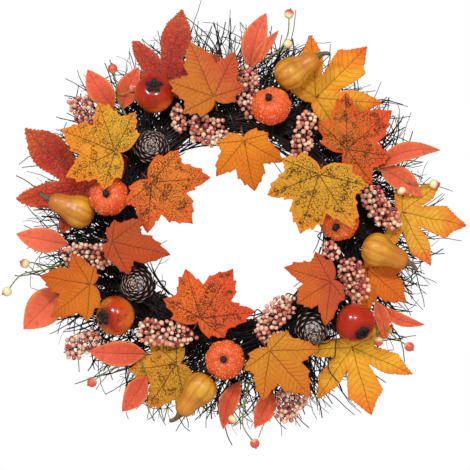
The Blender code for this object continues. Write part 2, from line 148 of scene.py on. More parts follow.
class WreathLeafSettings(bpy.types.PropertyGroup):
    thickness: length("Cloth thickness", 0.45, "Thickness of the leaf cloth")
    petiole: length("Petiole radius", 0.75, "Radius of the moulded leaf stalk")
    weave_step: length("Mesh step", 1.7, "Distance between the cloth's mesh points")


class WreathFruitSettings(bpy.types.PropertyGroup):
    bead_radius: length("Bead radius", 0.5, "Radius of the sugar beads on the pumpkins")
    bead_spacing: length("Bead spacing", 0.95, "Smallest distance between two beads")
    pumpkin: tint("Pumpkin", (214, 58, 22), "Colour of the pumpkins")
    persimmon: tint("Persimmon", (178, 40, 16), "Colour of the persimmons")
    gourd: tint("Gourd", (186, 112, 16), "Colour of the gourds")


class WreathConeSettings(bpy.types.PropertyGroup):
    scales: IntProperty(name="Scales", description="Scales on each pine cone", default=62, min=10)
    wood: tint("Wood", (62, 38, 34), "Colour of the scales")
    frost: tint("Frost", (206, 178, 166), "Colour of the scales' edges")


class WreathBerrySettings(bpy.types.PropertyGroup):
    pearl_radius: length("Pearl radius", 2.35, "Radius of a pearl berry")
    pearl_spacing: length("Pearl spacing", 3.85, "Smallest distance between two pearls")
    hip_radius: length("Rose hip radius", 4.5, "Radius of a rose hip")
    stem_radius: length("Stem radius", 0.75, "Radius of the wired stems")


class WreathStageSettings(bpy.types.PropertyGroup):
    lens: FloatProperty(name="Lens", description="Focal length in millimetres", default=150.0, min=1.0)
    view_width: length("View width", 451.0, "Width of the view at the wreath")
    key_power: FloatProperty(name="Key power", description="Power of the key light in watts", default=24.0)
    ambient: FloatProperty(name="Ambient", description="Brightness of the white surroundings", default=0.50)


SETTINGS = {
    "wreath_ring": WreathRingSettings,
    "wreath_twigs": WreathTwigSettings,
    "wreath_leaves": WreathLeafSettings,
    "wreath_fruit": WreathFruitSettings,
    "wreath_cones": WreathConeSettings,
    "wreath_berries": WreathBerrySettings,
    "wreath_stage": WreathStageSettings,
}


# ---- node trees --------------------------------------------------------------------------------
class Value:
    """A socket that takes part in Python arithmetic by adding Math nodes to its tree."""

    def __init__(self, graph, socket):
        self.graph = graph
        self.socket = socket

    def _math(self, operation, *values):
        return self.graph.make("ShaderNodeMath", dict(enumerate(values)), operation=operation)["Value"]

    def __add__(self, other):
        return self._math("ADD", self, other)

    def __sub__(self, other):
        return self._math("SUBTRACT", self, other)

    def __rsub__(self, other):
        return self._math("SUBTRACT", other, self)

    def __mul__(self, other):
        return self._math("MULTIPLY", self, other)

    def __truediv__(self, other):
        return self._math("DIVIDE", self, other)

    def __abs__(self):
        return self._math("ABSOLUTE", self)

    __radd__ = __add__
    __rmul__ = __mul__

    def fraction(self):
        return self._math("FRACT", self)

    def sine(self):
        return self._math("SINE", self)

    def cosine(self):
        return self._math("COSINE", self)

    def clamp(self):
        return self.graph.make("ShaderNodeClamp", {"Value": self})["Result"]

    def step(self, low, high):
        """0 below low, 1 above high, and smooth between them; low may be the larger one."""
        sockets = {"Value": self, "From Min": low, "From Max": high}
        return self.graph.make("ShaderNodeMapRange", sockets, interpolation_type="SMOOTHSTEP")["Result"]


class Made:
    """A node whose outputs are read as made["Fac"] or made[0]."""

    def __init__(self, graph, node):
        self.graph = graph
        self.node = node

    def __getitem__(self, key):
        return Value(self.graph, self.node.outputs[key])


class Graph:
    """Adds nodes to a node tree."""

    def __init__(self, tree):
        self.tree = tree

    def make(self, kind, sockets=None, **settings):
        node = self.tree.nodes.new(kind)
        for key, setting in settings.items():
            if key == "stops":
                self._set_stops(node.color_ramp, setting)
            else:
                setattr(node, key, setting)
        for key, value in (sockets or {}).items():
            self.feed(node.inputs[key], value)
        return Made(self, node)

    def feed(self, socket, value):
        if isinstance(value, Value):
            self.tree.links.new(value.socket, socket)
        elif socket.type == "RGBA":
            socket.default_value = (*value, 1.0)
        else:
            socket.default_value = value

    @staticmethod
    def _set_stops(ramp, stops):
        while len(ramp.elements) < len(stops):
            ramp.elements.new(0.5)
        for element, (position, color) in zip(ramp.elements, stops):
            element.position = position
            element.color = (*color, 1.0)


class Finish(Graph):
    """A material whose colour, roughness and relief are built with nodes."""

    def __init__(self, name, roughness=0.6, **constants):
        self.material = bpy.data.materials.new(name)
        self.material.use_nodes = True
        super().__init__(self.material.node_tree)
        self.shader = self.tree.nodes["Principled BSDF"]
        self.set("Roughness", roughness)
        for key, value in constants.items():
            self.set(key.replace("_", " ").title().replace("Ior", "IOR"), value)

    def set(self, name, value):
        self.feed(self.shader.inputs[name], value)

    def place(self):
        return self.make("ShaderNodeTexCoord")["Object"]

    def uv(self, name):
        node = self.make("ShaderNodeUVMap", uv_map=name)
        split = self.make("ShaderNodeSeparateXYZ", {0: node["UV"]})
        return split["X"], split["Y"]

    def attribute(self, name):
        return self.make("ShaderNodeAttribute", attribute_name=name)["Fac"]

    def join(self, x, y, z=0.0):
        return self.make("ShaderNodeCombineXYZ", {"X": x, "Y": y, "Z": z})["Vector"]

    def noise(self, scale, detail=3.0, vector=None, roughness=0.55):
        return self.make("ShaderNodeTexNoise", {"Scale": scale, "Detail": detail, "Roughness": roughness,
                                                "Vector": vector or self.place()})["Fac"]

    def cells(self, scale, vector=None, feature="F1"):
        sockets = {"Scale": scale, "Vector": vector or self.place()}
        return self.make("ShaderNodeTexVoronoi", sockets, feature=feature)["Distance"]

    def mix(self, factor, first, second):
        return self.make("ShaderNodeMix", {0: factor, 6: first, 7: second}, data_type="RGBA")[2]

    def ramp(self, factor, stops):
        return self.make("ShaderNodeValToRGB", {"Fac": factor}, stops=stops)["Color"]

    def relief(self, height, millimetres, strength=1.0):
        node = self.make("ShaderNodeBump", {"Height": height, "Distance": millimetres * MM,
                                                "Strength": strength})
        self.set("Normal", node["Normal"])


class Recipe(Graph):
    """A Geometry Nodes tree with named inputs; finish() ends it in Realize Instances and Set Material."""

    def __init__(self, name, **inputs):
        super().__init__(bpy.data.node_groups.new(name, "GeometryNodeTree"))
        interface = self.tree.interface
        interface.new_socket("Geometry", in_out="INPUT", socket_type="NodeSocketGeometry")
        kinds = {float: "NodeSocketFloat", int: "NodeSocketInt"}
        for key, value in inputs.items():
            label = key.replace("_", " ").title()
            interface.new_socket(label, in_out="INPUT", socket_type=kinds[type(value)]).default_value = value
        interface.new_socket("Geometry", in_out="OUTPUT", socket_type="NodeSocketGeometry")
        self.start = self.make("NodeGroupInput")
        self.end = self.make("NodeGroupOutput")

    def __getitem__(self, label):
        return self.start[label]

    def random(self, low, high, seed):
        sockets = {2: low, 3: high, "Seed": seed}
        return self.make("FunctionNodeRandomValue", sockets, data_type="FLOAT")[1]

    def scatter(self, density):
        """Random points on the starting mesh, no two nearer than the tree's Spacing."""
        return self.make("GeometryNodeDistributePointsOnFaces", {
            "Mesh": self["Geometry"], "Distance Min": self["Spacing"], "Density Max": density,
            "Seed": self["Seed"]}, distribute_method="POISSON")

    def balls(self, points, turns, radius, fineness, size, seed):
        """A ball on each point, of a random share of the radius and with a random "tint"."""
        ball = self.make("GeometryNodeMeshIcoSphere", {"Radius": radius, "Subdivisions": fineness})
        copies = self.make("GeometryNodeInstanceOnPoints", {
            "Points": points, "Instance": ball["Mesh"], "Rotation": turns, "Scale": size})
        return self.make("GeometryNodeStoreNamedAttribute", {
            "Geometry": copies["Instances"], "Name": "tint", "Value": self.random(0.0, 1.0, seed)},
            data_type="FLOAT", domain="INSTANCE")["Geometry"]

    def finish(self, geometry, material, smooth=True):
        real = self.make("GeometryNodeRealizeInstances", {"Geometry": geometry})
        shade = self.make("GeometryNodeSetShadeSmooth", {"Geometry": real["Geometry"],
                                                             "Shade Smooth": smooth})
        painted = self.make("GeometryNodeSetMaterial", {"Geometry": shade["Geometry"]})
        painted.node.inputs["Material"].default_value = material
        self.feed(self.end.node.inputs["Geometry"], painted["Geometry"])
        return self.tree


def grown(name, mesh, tree, **inputs):
    """The plain mesh that a Geometry Nodes tree makes of a starting mesh, as a new object."""
    seed = bpy.data.objects.new(f"{name}_seed", mesh)
    bpy.context.scene.collection.objects.link(seed)
    modifier = seed.modifiers.new("Recipe", "NODES")
    modifier.node_group = tree
    for item in tree.interface.items_tree:
        key = item.name.replace(" ", "_").lower()
        if item.in_out == "INPUT" and key in inputs:
            modifier[item.identifier] = inputs[key]
    graph = bpy.context.evaluated_depsgraph_get()
    data = bpy.data.meshes.new_from_object(seed.evaluated_get(graph), preserve_all_data_layers=True,
                                           depsgraph=graph)
    seed.modifiers.remove(modifier)
    bpy.data.objects.remove(seed)
    data.name = name
    return add_object(name, data)


# ---- pieces ------------------------------------------------------------------------------------
def add_object(name, data, *materials):
    obj = bpy.data.objects.new(name, data)
    bpy.context.scene.collection.objects.link(obj)
    for material in materials:
        data.materials.append(material)
    return obj


def fit(piece, slot, *nodes, body=BODY):
    """Puts a piece on its body, in its slot, in place of the CAD nodes it stands for."""
    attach(piece, body)
    if nodes:
        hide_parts(*nodes)


def merged(node):
    """A CAD node's corners, each once, and its triangles as rows of three corner numbers."""
    data = frame["nodes"][node].data
    points = np.empty(len(data.vertices) * 3, np.float32)
    data.vertices.foreach_get("co", points)
    points = points.reshape(-1, 3).astype(float)
    keys = np.round(points / (0.01 * MM)).astype(np.int64)
    _, first, index = np.unique(keys, axis=0, return_index=True, return_inverse=True)
    data.calc_loop_triangles()
    triangles = np.empty(len(data.loop_triangles) * 3, np.int32)
    data.loop_triangles.foreach_get("vertices", triangles)
    return points[first], index.reshape(-1)[triangles].reshape(-1, 3)


class Turned(namedtuple("Turned", "start end middle radius")):
    """A turned solid: its two poles, the middle of its widest ring and the radius there."""

    @property
    def axis(self):
        return (self.end - self.start).normalized()


def turned(node):
    """Axis, widest place and radius of a turned CAD solid; `end` is the pole farther from the middle."""
    points, triangles = merged(node)
    valence = np.bincount(triangles.reshape(-1), minlength=len(points))
    poles = [Vector(points[i]) for i in np.argsort(valence)[-2:]]
    axis = (poles[1] - poles[0]).normalized()
    offsets = points - np.array(poles[0])
    along = offsets @ np.array(axis)
    away = np.linalg.norm(offsets - np.outer(along, np.array(axis)), axis=1)
    radius = away.max()
    middle = poles[0] + axis * float(along[away > 0.98 * radius].mean())
    if (poles[0] - middle).length > (poles[1] - middle).length:
        poles.reverse()
    return Turned(poles[0], poles[1], middle, float(radius))


LeafPose = namedtuple("LeafPose", "junction heading right normal length")


def leaf_pose(node):
    """Where a CAD leaf's stalk meets it, its midrib, its right side, its front and its length."""
    points, triangles = merged(node)
    a, b, c = (points[triangles[:, i]] for i in range(3))
    cross = np.cross(b - a, c - a)
    size = np.linalg.norm(cross, axis=1)
    unit = cross / np.maximum(size, 1e-15)[:, None]
    faces_front = unit[:, 1] < 0
    normal = unit[np.argmax(size * faces_front)]
    plate = points[np.unique(triangles[(unit @ normal > 0.999)])]
    level = (plate @ normal).max()
    plate = plate[plate @ normal > level - 0.05 * MM]
    depth = points @ normal
    stub = points[depth < depth.min() + 0.05 * MM].mean(axis=0)
    junction = stub + normal * (level - stub @ normal)
    heading = plate.mean(axis=0) - junction
    heading /= np.linalg.norm(heading)
    reach = float(((plate - junction) @ heading).max())
    junction, heading, normal = Vector(junction), Vector(heading), Vector(normal)
    return LeafPose(junction, heading, heading.cross(normal), normal, reach)


def basis(axis, hint=Vector((0, -1, 0))):
    """Two directions square to an axis, the second as near the hint as it can be."""
    axis = axis.normalized()
    side = axis.cross(hint)
    if side.length < 1e-4:
        side = axis.cross(Vector((1, 0, 0)))
    side.normalize()
    return side, side.cross(axis).normalized()


def face_outward(bm, faces=None):
    """Turns the faces' front sides outward, by default those of the whole mesh."""
    bmesh.ops.recalc_face_normals(bm, faces=faces or bm.faces[:])


def band(bm, low, high):
    """Joins two rings of as many corners with a band of faces."""
    count = len(low)
    return [bm.faces.new((low[k], low[(k + 1) % count], high[(k + 1) % count], high[k]))
            for k in range(count)]


def tube(bm, points, radii, sides=6, material=0, closed=False):
    """Adds a round tube along a line of points, with the frame carried along so that it doesn't twist."""
    count = len(points)
    rings = []
    normal = None
    for i, point in enumerate(points):
        before = points[i - 1] if i or closed else points[0]
        after = points[(i + 1) % count] if i < count - 1 or closed else points[-1]
        axis = (after - before).normalized()
        if normal is None:
            normal = basis(axis)[0]
        normal = (normal - axis * normal.dot(axis)).normalized()
        other = axis.cross(normal)
        radius = radii[i] if hasattr(radii, "__len__") else radii
        turns = [2 * math.pi * k / sides for k in range(sides)]
        rings.append([bm.verts.new(point + (normal * math.cos(t) + other * math.sin(t)) * radius)
                      for t in turns])
    pairs = list(zip(rings, rings[1:])) + ([(rings[-1], rings[0])] if closed else [])
    faces = []
    for low, high in pairs:
        faces += band(bm, low, high)
    if not closed:
        faces += [bm.faces.new(rings[0][::-1]), bm.faces.new(rings[-1])]
    for face in faces:
        face.material_index = material
        face.smooth = True


def smooth_line(points, steps):
    """A Catmull-Rom line through the points, with so many steps between each two."""
    line = []
    count = len(points)
    for i in range(count - 1):
        a, b = points[max(i - 1, 0)], points[i]
        c, d = points[i + 1], points[min(i + 2, count - 1)]
        for k in range(steps):
            t = k / steps
            line.append(0.5 * ((2 * b) + (c - a) * t + (2 * a - 5 * b + 4 * c - d) * t * t
                               + (3 * b - a - 3 * c + d) * t ** 3))
    return line + [points[-1].copy()]


def mesh_from(name, bm):
    data = bpy.data.meshes.new(name)
    bm.to_mesh(data)
    bm.free()
    return data


def turned_body(bm, item, profile, sides, shape=None, material=0):
    """Adds a closed turned skin; the profile is (along, radius) in units of the item's radius from its
    middle, and shape(turn, along) gives the radius a factor and the place along the axis a shift."""
    axis = item.axis
    side, front = basis(axis)
    rings = []
    for along, radius in profile[1:-1]:
        ring = []
        for k in range(sides):
            t = 2 * math.pi * k / sides
            swell, shift = shape(t, along) if shape else (1.0, 0.0)
            out = (side * math.cos(t) + front * math.sin(t)) * radius * swell
            ring.append(bm.verts.new(item.middle + (axis * (along + shift) + out) * item.radius))
        rings.append(ring)
    first = bm.verts.new(item.middle + axis * profile[0][0] * item.radius)
    last = bm.verts.new(item.middle + axis * profile[-1][0] * item.radius)
    faces = []
    for k in range(sides):
        j = (k + 1) % sides
        faces.append(bm.faces.new((first, rings[0][j], rings[0][k])))
        faces.append(bm.faces.new((last, rings[-1][k], rings[-1][j])))
        for low, high in zip(rings, rings[1:]):
            faces.append(bm.faces.new((low[k], low[j], high[j], high[k])))
    for face in faces:
        face.smooth = True
        face.material_index = material


# ---- finishes ----------------------------------------------------------------------------------
def bark_finish(name, color, scale=420.0):
    f = Finish(name, roughness=0.75)
    grain = f.noise(scale, 4.0)
    patch = f.noise(60.0, 2.0)
    dark = tuple(c * 0.35 for c in color)
    # The pale patches are partly lighter grey bark and partly painted highlights where light catches the
    # strands.
    pale = tuple(min(c * 3.4 + 0.02, 1.0) for c in color)
    tone = f.mix(grain.step(0.35, 0.7), dark, color)
    f.set("Base Color", f.mix((grain * patch).step(0.27, 0.42) * 0.75, tone, pale))
    f.set("Roughness", 0.9 - grain * 0.35)
    f.relief(grain, 0.5)
    return f.material


def wire_finish(name, color):
    f = Finish(name, roughness=0.4, metallic=0.9)
    grime = f.noise(220.0, 3.0)
    f.set("Base Color", f.mix(grime.step(0.45, 0.75), color, tuple(c * 0.35 for c in color)))
    f.set("Roughness", 0.3 + grime * 0.35)
    f.relief(grime, 0.1)
    return f.material


def stem_finish(name, first, second):
    f = Finish(name, roughness=0.55)
    grain = f.noise(300.0, 3.0)
    f.set("Base Color", f.mix(grain.step(0.4, 0.65), first, second))
    f.relief(grain, 0.2)
    return f.material


def vein_masks(f, seed, spacing=0.085):
    """Lines of the main vein, of the side veins and of the fine net, 1 on the line and 0 off it."""
    along, across = f.uv("vein")
    sway = (f.noise(3.5, 1.0, f.join(along, float(seed))) - 0.5) * along * 0.10
    reach = abs(across + sway)
    main = (1 - reach / (0.0105 - along * 0.0075)).clamp()
    wave = (f.noise(7.0, 2.0, f.join(along, across, float(seed))) - 0.5) * 0.10
    flank = (across + sway) * 40
    stagger = flank.clamp() * spacing * 0.45
    rank = ((along + wave + stagger - reach * 0.85 + reach * reach * 0.5) / spacing).fraction()
    side = (1 - abs(rank - 0.5) * spacing / 0.0042).clamp() * (1 - reach * 2.6).clamp()
    net = (1 - f.cells(46.0, f.join(along, across), "DISTANCE_TO_EDGE") / 0.06).clamp()
    return along, reach, main, side, net


def silk_finish(name, look):
    """Dyed cloth: colour runs over the leaf, veins pressed in, and ink speckles where a leaf has them."""
    family = look.family
    velvet = family.outline == "red"
    f = Finish(name, roughness=0.72, sheen_weight=0.22 if velvet else 0.03,
               sheen_roughness=0.5, specular_ior_level=0.2)
    seed = float(look.seed)
    along, reach, main, side, net = vein_masks(f, seed, 0.11 if velvet else 0.085)
    x, y = f.uv("leaf")
    rim = f.attribute("rim")
    cloud = f.noise(4.0, 3.0, f.join(x, y, seed))
    turn = math.radians(look.side)
    across_leaf = x * math.sin(turn) + y * math.cos(turn)
    color = f.mix((across_leaf + (cloud - 0.5) * 1.1).step(-0.25, 0.65), look.body, look.second)
    color = f.mix((rim + (cloud - 0.5) * 0.9).step(0.55, 1.1) * look.rim, color, look.edge)
    color = f.mix((along + (cloud - 0.5) * 0.5).step(0.52, 0.98) * look.tips, color, look.edge)
    mottle = f.noise(15.0, 5.0, f.join(x, y, seed), roughness=0.65)
    fibre = f.noise(1400.0, 2.0)
    color = f.mix(mottle.step(0.50, 0.85) * 0.55, color, tuple(c * 0.58 for c in look.second))
    color = f.mix(mottle.step(0.46, 0.22) * 0.35, color, tuple(min(c * 1.25 + 0.01, 1.0) for c in look.body))
    color = f.mix(side * family.branch * 0.60 + net * 0.06, color, family.ink)
    color = f.mix(main * family.vein, color, family.ink)
    if family.speckle:
        patch = (f.noise(3.0, 2.0, f.join(x, y, seed + 7)) - along * 0.10).step(0.29, 0.46)
        fine = f.noise(40.0, 2.0, f.join(x, y, seed + 3), roughness=0.7)
        fine = (fine + (0.4 - along).clamp() * 0.08).step(0.535, 0.56)
        clump = f.noise(5.0, 1.0, f.join(x, y, seed + 9)).step(0.52, 0.62)
        blot = f.noise(27.0, 3.0, f.join(x, y, seed + 5), roughness=0.75).step(0.48, 0.51)
        body = (1 - rim.step(0.72, 0.98)) * rim.step(-0.2, 0.05)
        spots = (fine * patch + blot * clump).clamp() * body
        color = f.mix(spots * family.speckle, color, family.ink)
    color = f.mix((fibre - 0.35).clamp() * 0.3, color, tuple(min(c * 1.3 + 0.02, 1.0) for c in look.body))
    height = fibre * 0.10 + net * -0.08 + side * -0.6 + main * -0.9
    if velvet:
        swirl = f.join(x + (mottle - 0.5) * 0.10, y + (cloud - 0.5) * 0.14)
        shaded_crease = (1 - f.cells(21.0, swirl, "DISTANCE_TO_EDGE") / 0.13).clamp()
        lit_blister = f.cells(21.0, swirl).step(0.6, 0.1)
        # Painted shade: the creases are darkened to deep red, as where shade falls in them.
        color = f.mix(shaded_crease * mottle.step(0.3, 0.7) * 0.65, color, dye(104, 12, 14))
        # Painted highlight: the raised blisters are lightened, as where light falls on them.
        color = f.mix(lit_blister * mottle.step(0.65, 0.35) * 0.22, color, dye(222, 98, 66))
        height = height + lit_blister * 0.7 + shaded_crease * -0.6
    f.set("Base Color", color)
    f.set("Roughness", 0.58 + fibre * 0.25)
    f.relief(height + f.noise(30.0, 4.0, f.join(x, y, 2.0)) * family.crinkle, 0.9)
    return f.material


def coral_finish(name, color):
    f = Finish(name, roughness=0.6, sheen_weight=0.08, specular_ior_level=0.3)
    along, reach, main, side, net = vein_masks(f, 3.0, 0.10)
    rim = f.attribute("rim")
    cloud = f.noise(7.0, 3.0, f.join(along, reach))
    pale = tuple(min(c * 1.3 + 0.02, 1.0) for c in color)
    tone = f.mix((along + (cloud - 0.5) * 1.2).step(0.1, 0.9), color, pale)
    tone = f.mix((rim + (cloud - 0.5) * 0.5).step(0.70, 1.0) * 0.8, tone, dye(232, 140, 66))
    tone = f.mix(cloud.step(0.45, 0.72) * 0.7, tone, tuple(c * 0.66 for c in color))
    fade = f.noise(18.0, 4.0, f.join(along, reach, 5.0)).step(0.5, 0.75)
    tone = f.mix(fade * 0.45, tone, dye(232, 128, 82))
    tone = f.mix(main * 0.45 + side * 0.22, tone, tuple(c * 0.62 for c in color))
    fibre = f.noise(1500.0, 2.0)
    f.set("Base Color", f.mix(fibre.step(0.5, 0.9) * 0.2, tone, dye(250, 170, 140)))
    f.set("Roughness", 0.5 + fibre * 0.25)
    f.relief(fibre * 0.15 + side * -0.5 + main * -0.9 + net * -0.15, 0.6)
    return f.material


def pumpkin_finish(name, color):
    f = Finish(name, roughness=0.45, coat_weight=0.25, coat_roughness=0.2)
    cloud = f.noise(45.0, 3.0)
    fine = f.noise(900.0, 2.0)
    tone = f.mix(cloud.step(0.35, 0.7), color, dye(228, 84, 28))
    f.set("Base Color", f.mix(fine.step(0.55, 0.75) * 0.5, tone, dye(250, 150, 60)))
    f.set("Roughness", 0.3 + fine * 0.3)
    f.relief(fine, 0.3)
    return f.material


def bead_finish(name):
    f = Finish(name, roughness=0.2, coat_weight=0.6, coat_roughness=0.08)
    crown = f.attribute("crown")
    # The palest stop of the ramp paints sparkle highlights on some beads, more of them toward the stem.
    shade = (f.attribute("tint") + crown * 0.16).clamp()
    tone = f.ramp(shade, [(0.0, dye(196, 38, 16)), (0.55, dye(222, 72, 22)), (0.84, dye(232, 108, 30)),
                          (1.0, dye(255, 208, 130))])
    # Lighter and more yellow toward the stem: partly the beads' own tone and partly painted light on the lit
    # face.
    f.set("Base Color", f.mix(crown.step(0.15, 0.9) * 0.55, tone, dye(236, 138, 44)))
    f.relief(f.noise(2500.0, 1.0), 0.02)
    return f.material


def persimmon_finish(name, color, glow):
    """Lacquered skin: a warm patch of so much glow on a red ground, mottled and flecked."""
    f = Finish(name, roughness=0.22, coat_weight=0.5, coat_roughness=0.03)
    along, _ = f.uv("skin")
    cloud = f.noise(26.0, 5.0, roughness=0.6)
    # The warm orange toward the blossom end and in the cloud patch is partly the skin's own colour and partly
    # painted light.
    low = min(glow * 1.6 - 0.36, 0.2)
    tone = f.mix((along + (cloud - 0.5) * 0.8).step(low, low + 0.65), dye(214, 96, 20), color)
    tone = f.mix(cloud.step(0.60 - glow * 0.15, 0.78 - glow * 0.15) * 0.9, tone, dye(216, 124, 34))
    tone = f.mix(f.noise(55.0, 4.0).step(0.47, 0.68) * 0.65, tone, dye(140, 26, 12))
    tone = f.mix(f.noise(190.0, 3.0).step(0.54, 0.68) * 0.4, tone, dye(118, 32, 12))
    # Painted shade: a near-black red band round the calyx, as where the calyx shades the skin.
    tone = f.mix((along + (cloud - 0.5) * 0.15).step(0.80, 0.97) * 0.9, tone, dye(74, 16, 18))
    specks = f.noise(520.0, 2.0).step(0.64, 0.70)
    f.set("Base Color", f.mix(specks * 0.7, tone, dye(70, 20, 12)))
    f.set("Roughness", 0.16 + cloud * 0.16)
    f.relief(f.noise(160.0, 2.0), 0.12)
    return f.material


def calyx_finish(name):
    f = Finish(name, roughness=0.75)
    grain = f.noise(380.0, 4.0)
    tone = f.mix(grain.step(0.35, 0.65), dye(20, 15, 15), dye(46, 30, 26))
    f.set("Base Color", f.mix(f.noise(240.0).step(0.58, 0.75) * 0.5, tone, dye(86, 62, 50)))
    f.relief(grain, 0.5)
    return f.material


def gourd_finish(name, color):
    f = Finish(name, roughness=0.45, coat_weight=0.18, coat_roughness=0.22)
    along, turn = f.uv("skin")
    cloud = f.noise(38.0, 5.0)
    groove_shade = abs((turn * GOURD_RIBS).fraction() - 0.5) * 2
    tone = f.mix(cloud.step(0.40, 0.66), color, dye(216, 154, 36))
    # Painted shade: the rib grooves are darkened, as where shade falls in them.
    tone = f.mix(groove_shade.step(0.5, 1.0) * 0.45, tone, dye(164, 84, 16))
    tone = f.mix(f.noise(80.0, 4.0).step(0.54, 0.74) * 0.6, tone, dye(164, 88, 14))
    tone = f.mix((along + (cloud - 0.5) * 0.5).step(0.45, 0.75) * 0.5, tone, dye(190, 104, 30))
    f.set("Base Color", f.mix(f.noise(420.0, 2.0).step(0.66, 0.72) * 0.5, tone, dye(150, 88, 26)))
    f.set("Roughness", 0.38 + cloud * 0.2)
    f.relief(f.noise(200.0, 3.0), 0.25)
    return f.material


def cone_finish(name, wood, frost):
    f = Finish(name, roughness=0.8)
    edge = f.attribute("edge")
    grain = f.noise(620.0, 4.0)
    tone = f.mix(grain.step(0.35, 0.7), tuple(c * 0.4 for c in wood), wood)
    f.set("Base Color", f.mix((edge + (grain - 0.5) * 0.5).step(0.86, 1.02) * 0.9, tone, frost))
    f.relief(grain, 0.4)
    return f.material


def pearl_finish(name):
    f = Finish(name, roughness=0.3, coat_weight=0.8, coat_roughness=0.05)
    shade = f.attribute("tint")
    cloud = f.noise(260.0, 3.0)
    tone = f.ramp(shade, [(0.0, dye(250, 214, 182)), (0.35, dye(240, 184, 152)), (0.66, dye(224, 142, 118)),
                          (0.86, dye(190, 90, 80)), (1.0, dye(150, 38, 62))])
    f.set("Base Color", f.mix(cloud.step(0.48, 0.8) * 0.6, tone, dye(176, 84, 66)))
    f.set("Roughness", 0.2 + cloud * 0.2)
    f.relief(cloud, 0.1)
    return f.material


def hip_finish(name, blush):
    f = Finish(name, roughness=0.32, coat_weight=0.4, coat_roughness=0.15)
    along, _ = f.uv("skin")
    cloud = f.noise(120.0, 3.0)
    start = 0.95 - blush * 0.9
    tone = f.mix((along + (cloud - 0.5) * 0.5).step(start - 0.2, start + 0.25), dye(236, 222, 168),
                 dye(222, 84, 66))
    f.set("Base Color", f.mix(along.step(0.93, 0.98), tone, dye(92, 34, 26)))
    f.set("Roughness", 0.25 + cloud * 0.2)
    f.relief(cloud, 0.15)
    return f.material


def floor_finish(name):
    f = Finish(name, roughness=0.7)
    grain = f.noise(35.0, 4.0)
    f.set("Base Color", f.mix(grain, (0.80, 0.80, 0.79), (0.86, 0.86, 0.85)))
    f.relief(grain, 0.3)
    return f.material


# ---- ring --------------------------------------------------------------------------------------
def tube_recipe(name, material):
    """Turns lines of edges into round tubes whose radius is the attribute "girth"."""
    r = Recipe(name, sides=5)
    line = r.make("GeometryNodeMeshToCurve", {"Mesh": r["Geometry"]})
    girth = r.make("GeometryNodeInputNamedAttribute", {"Name": "girth"}, data_type="FLOAT")
    ring = r.make("GeometryNodeCurvePrimitiveCircle", {"Resolution": r["Sides"], "Radius": 1.0})
    solid = r.make("GeometryNodeCurveToMesh", {
        "Curve": line["Curve"], "Profile Curve": ring["Curve"], "Scale": girth["Attribute"],
        "Fill Caps": True})
    return r.finish(solid["Mesh"], material)


def line_mesh(name, lines):
    """A mesh of edges from lines of (point, girth); a line whose last point is its first is closed."""
    data = bpy.data.meshes.new(name)
    points, edges, girths = [], [], []
    for line in lines:
        first = len(points)
        closed = (line[0][0] - line[-1][0]).length < 1e-9
        body = line[:-1] if closed else line
        points += [p for p, _ in body]
        girths += [g for _, g in body]
        edges += [(first + i, first + i + 1) for i in range(len(body) - 1)]
        if closed:
            edges.append((first + len(body) - 1, first))
    data.from_pydata(points, edges, [])
    data.attributes.new("girth", "FLOAT", "POINT").data.foreach_set("value", girths)
    return data


def vine_line(phase, twists, wander, radius, rng, strand):
    """One strand of a vine: a line wound round the vine's own path, which is wound round the bundle."""
    steps = twists * 26
    offset = BUNDLE_RADIUS / 2
    own_turns = 18 + strand % 5
    points = []
    shift = rng.uniform(0, 100)
    for i in range(steps + 1):
        angle = 360 * (i % steps) / steps
        twist = math.radians(twists * angle + phase)
        own = math.radians(own_turns * angle) + strand * 2 * math.pi / 6
        bump = 1 + 0.16 * noise.noise(Vector((math.cos(math.radians(angle)) * 4, shift,
                                              math.sin(math.radians(angle)) * 4)))
        out = offset * math.cos(twist) + wander * math.cos(own) * bump
        deep = offset * math.sin(twist) + wander * math.sin(own) * bump
        girth = radius * (1 + 0.25 * noise.noise(Vector((math.cos(math.radians(angle)) * 9, shift + 5,
                                                         math.sin(math.radians(angle)) * 9))))
        points.append((polar(angle, RING_RADIUS + out, BUNDLE_DEPTH + deep), girth))
    return points


def build_ring(settings):
    rng = random.Random(11)
    bark = bark_finish("vine bark", settings.bark)
    steel = wire_finish("annealed wire", settings.wire)
    recipe = tube_recipe("Vine strands", bark)
    for number, phase in ((1, 0), (2, 180)):
        core = BUNDLE_RADIUS / 2 - 2 * settings.strand_radius
        lines = [vine_line(phase, settings.vine_twists, 0.0, core, rng, 0)]
        lines += [vine_line(phase, settings.vine_twists, core + 0.3 * MM, settings.strand_radius, rng, k)
                  for k in range(6)]
        vine = grown(f"vine_bundle_{number}", line_mesh("vine lines", lines), recipe, sides=7)
        fit(vine, "vine_bark", f"vine_{number}")
    wires = tube_recipe("Steel wire", steel)
    steps = 160
    ring = [(polar(360 * (i % steps) / steps, RING_RADIUS, 0), RING_WIRE) for i in range(steps + 1)]
    fit(grown("ring_wire", line_mesh("ring line", [ring]), wires, sides=12), "steel_wire", "frame_ring")
    fit(grown("winding_wire", line_mesh("winding line", [winding_line()]), wires, sides=6),
        "steel_wire", "binding_wire")
    fit(grown("loop_wire", line_mesh("loop line", [loop_line()]), wires, sides=10), "steel_wire",
        "hanging_loop", body=LOOP_BODY)


def winding_line():
    """The binding wire, wound round the ring and the vines."""
    turns, per_turn, wire = 16, 26, 0.6 * MM
    reach = (WRAP_HIGH.y - WRAP_LOW.y) / 2 - wire
    depth = -(WRAP_HIGH.y + WRAP_LOW.y) / 2
    steps = turns * per_turn
    points = []
    for i in range(steps + 1):
        angle = 360 * (i % steps) / steps
        wind = math.radians(turns * (angle - 90))
        points.append((polar(angle, RING_RADIUS + reach * math.sin(wind),
                             depth + reach * math.cos(wind)), wire))
    return points


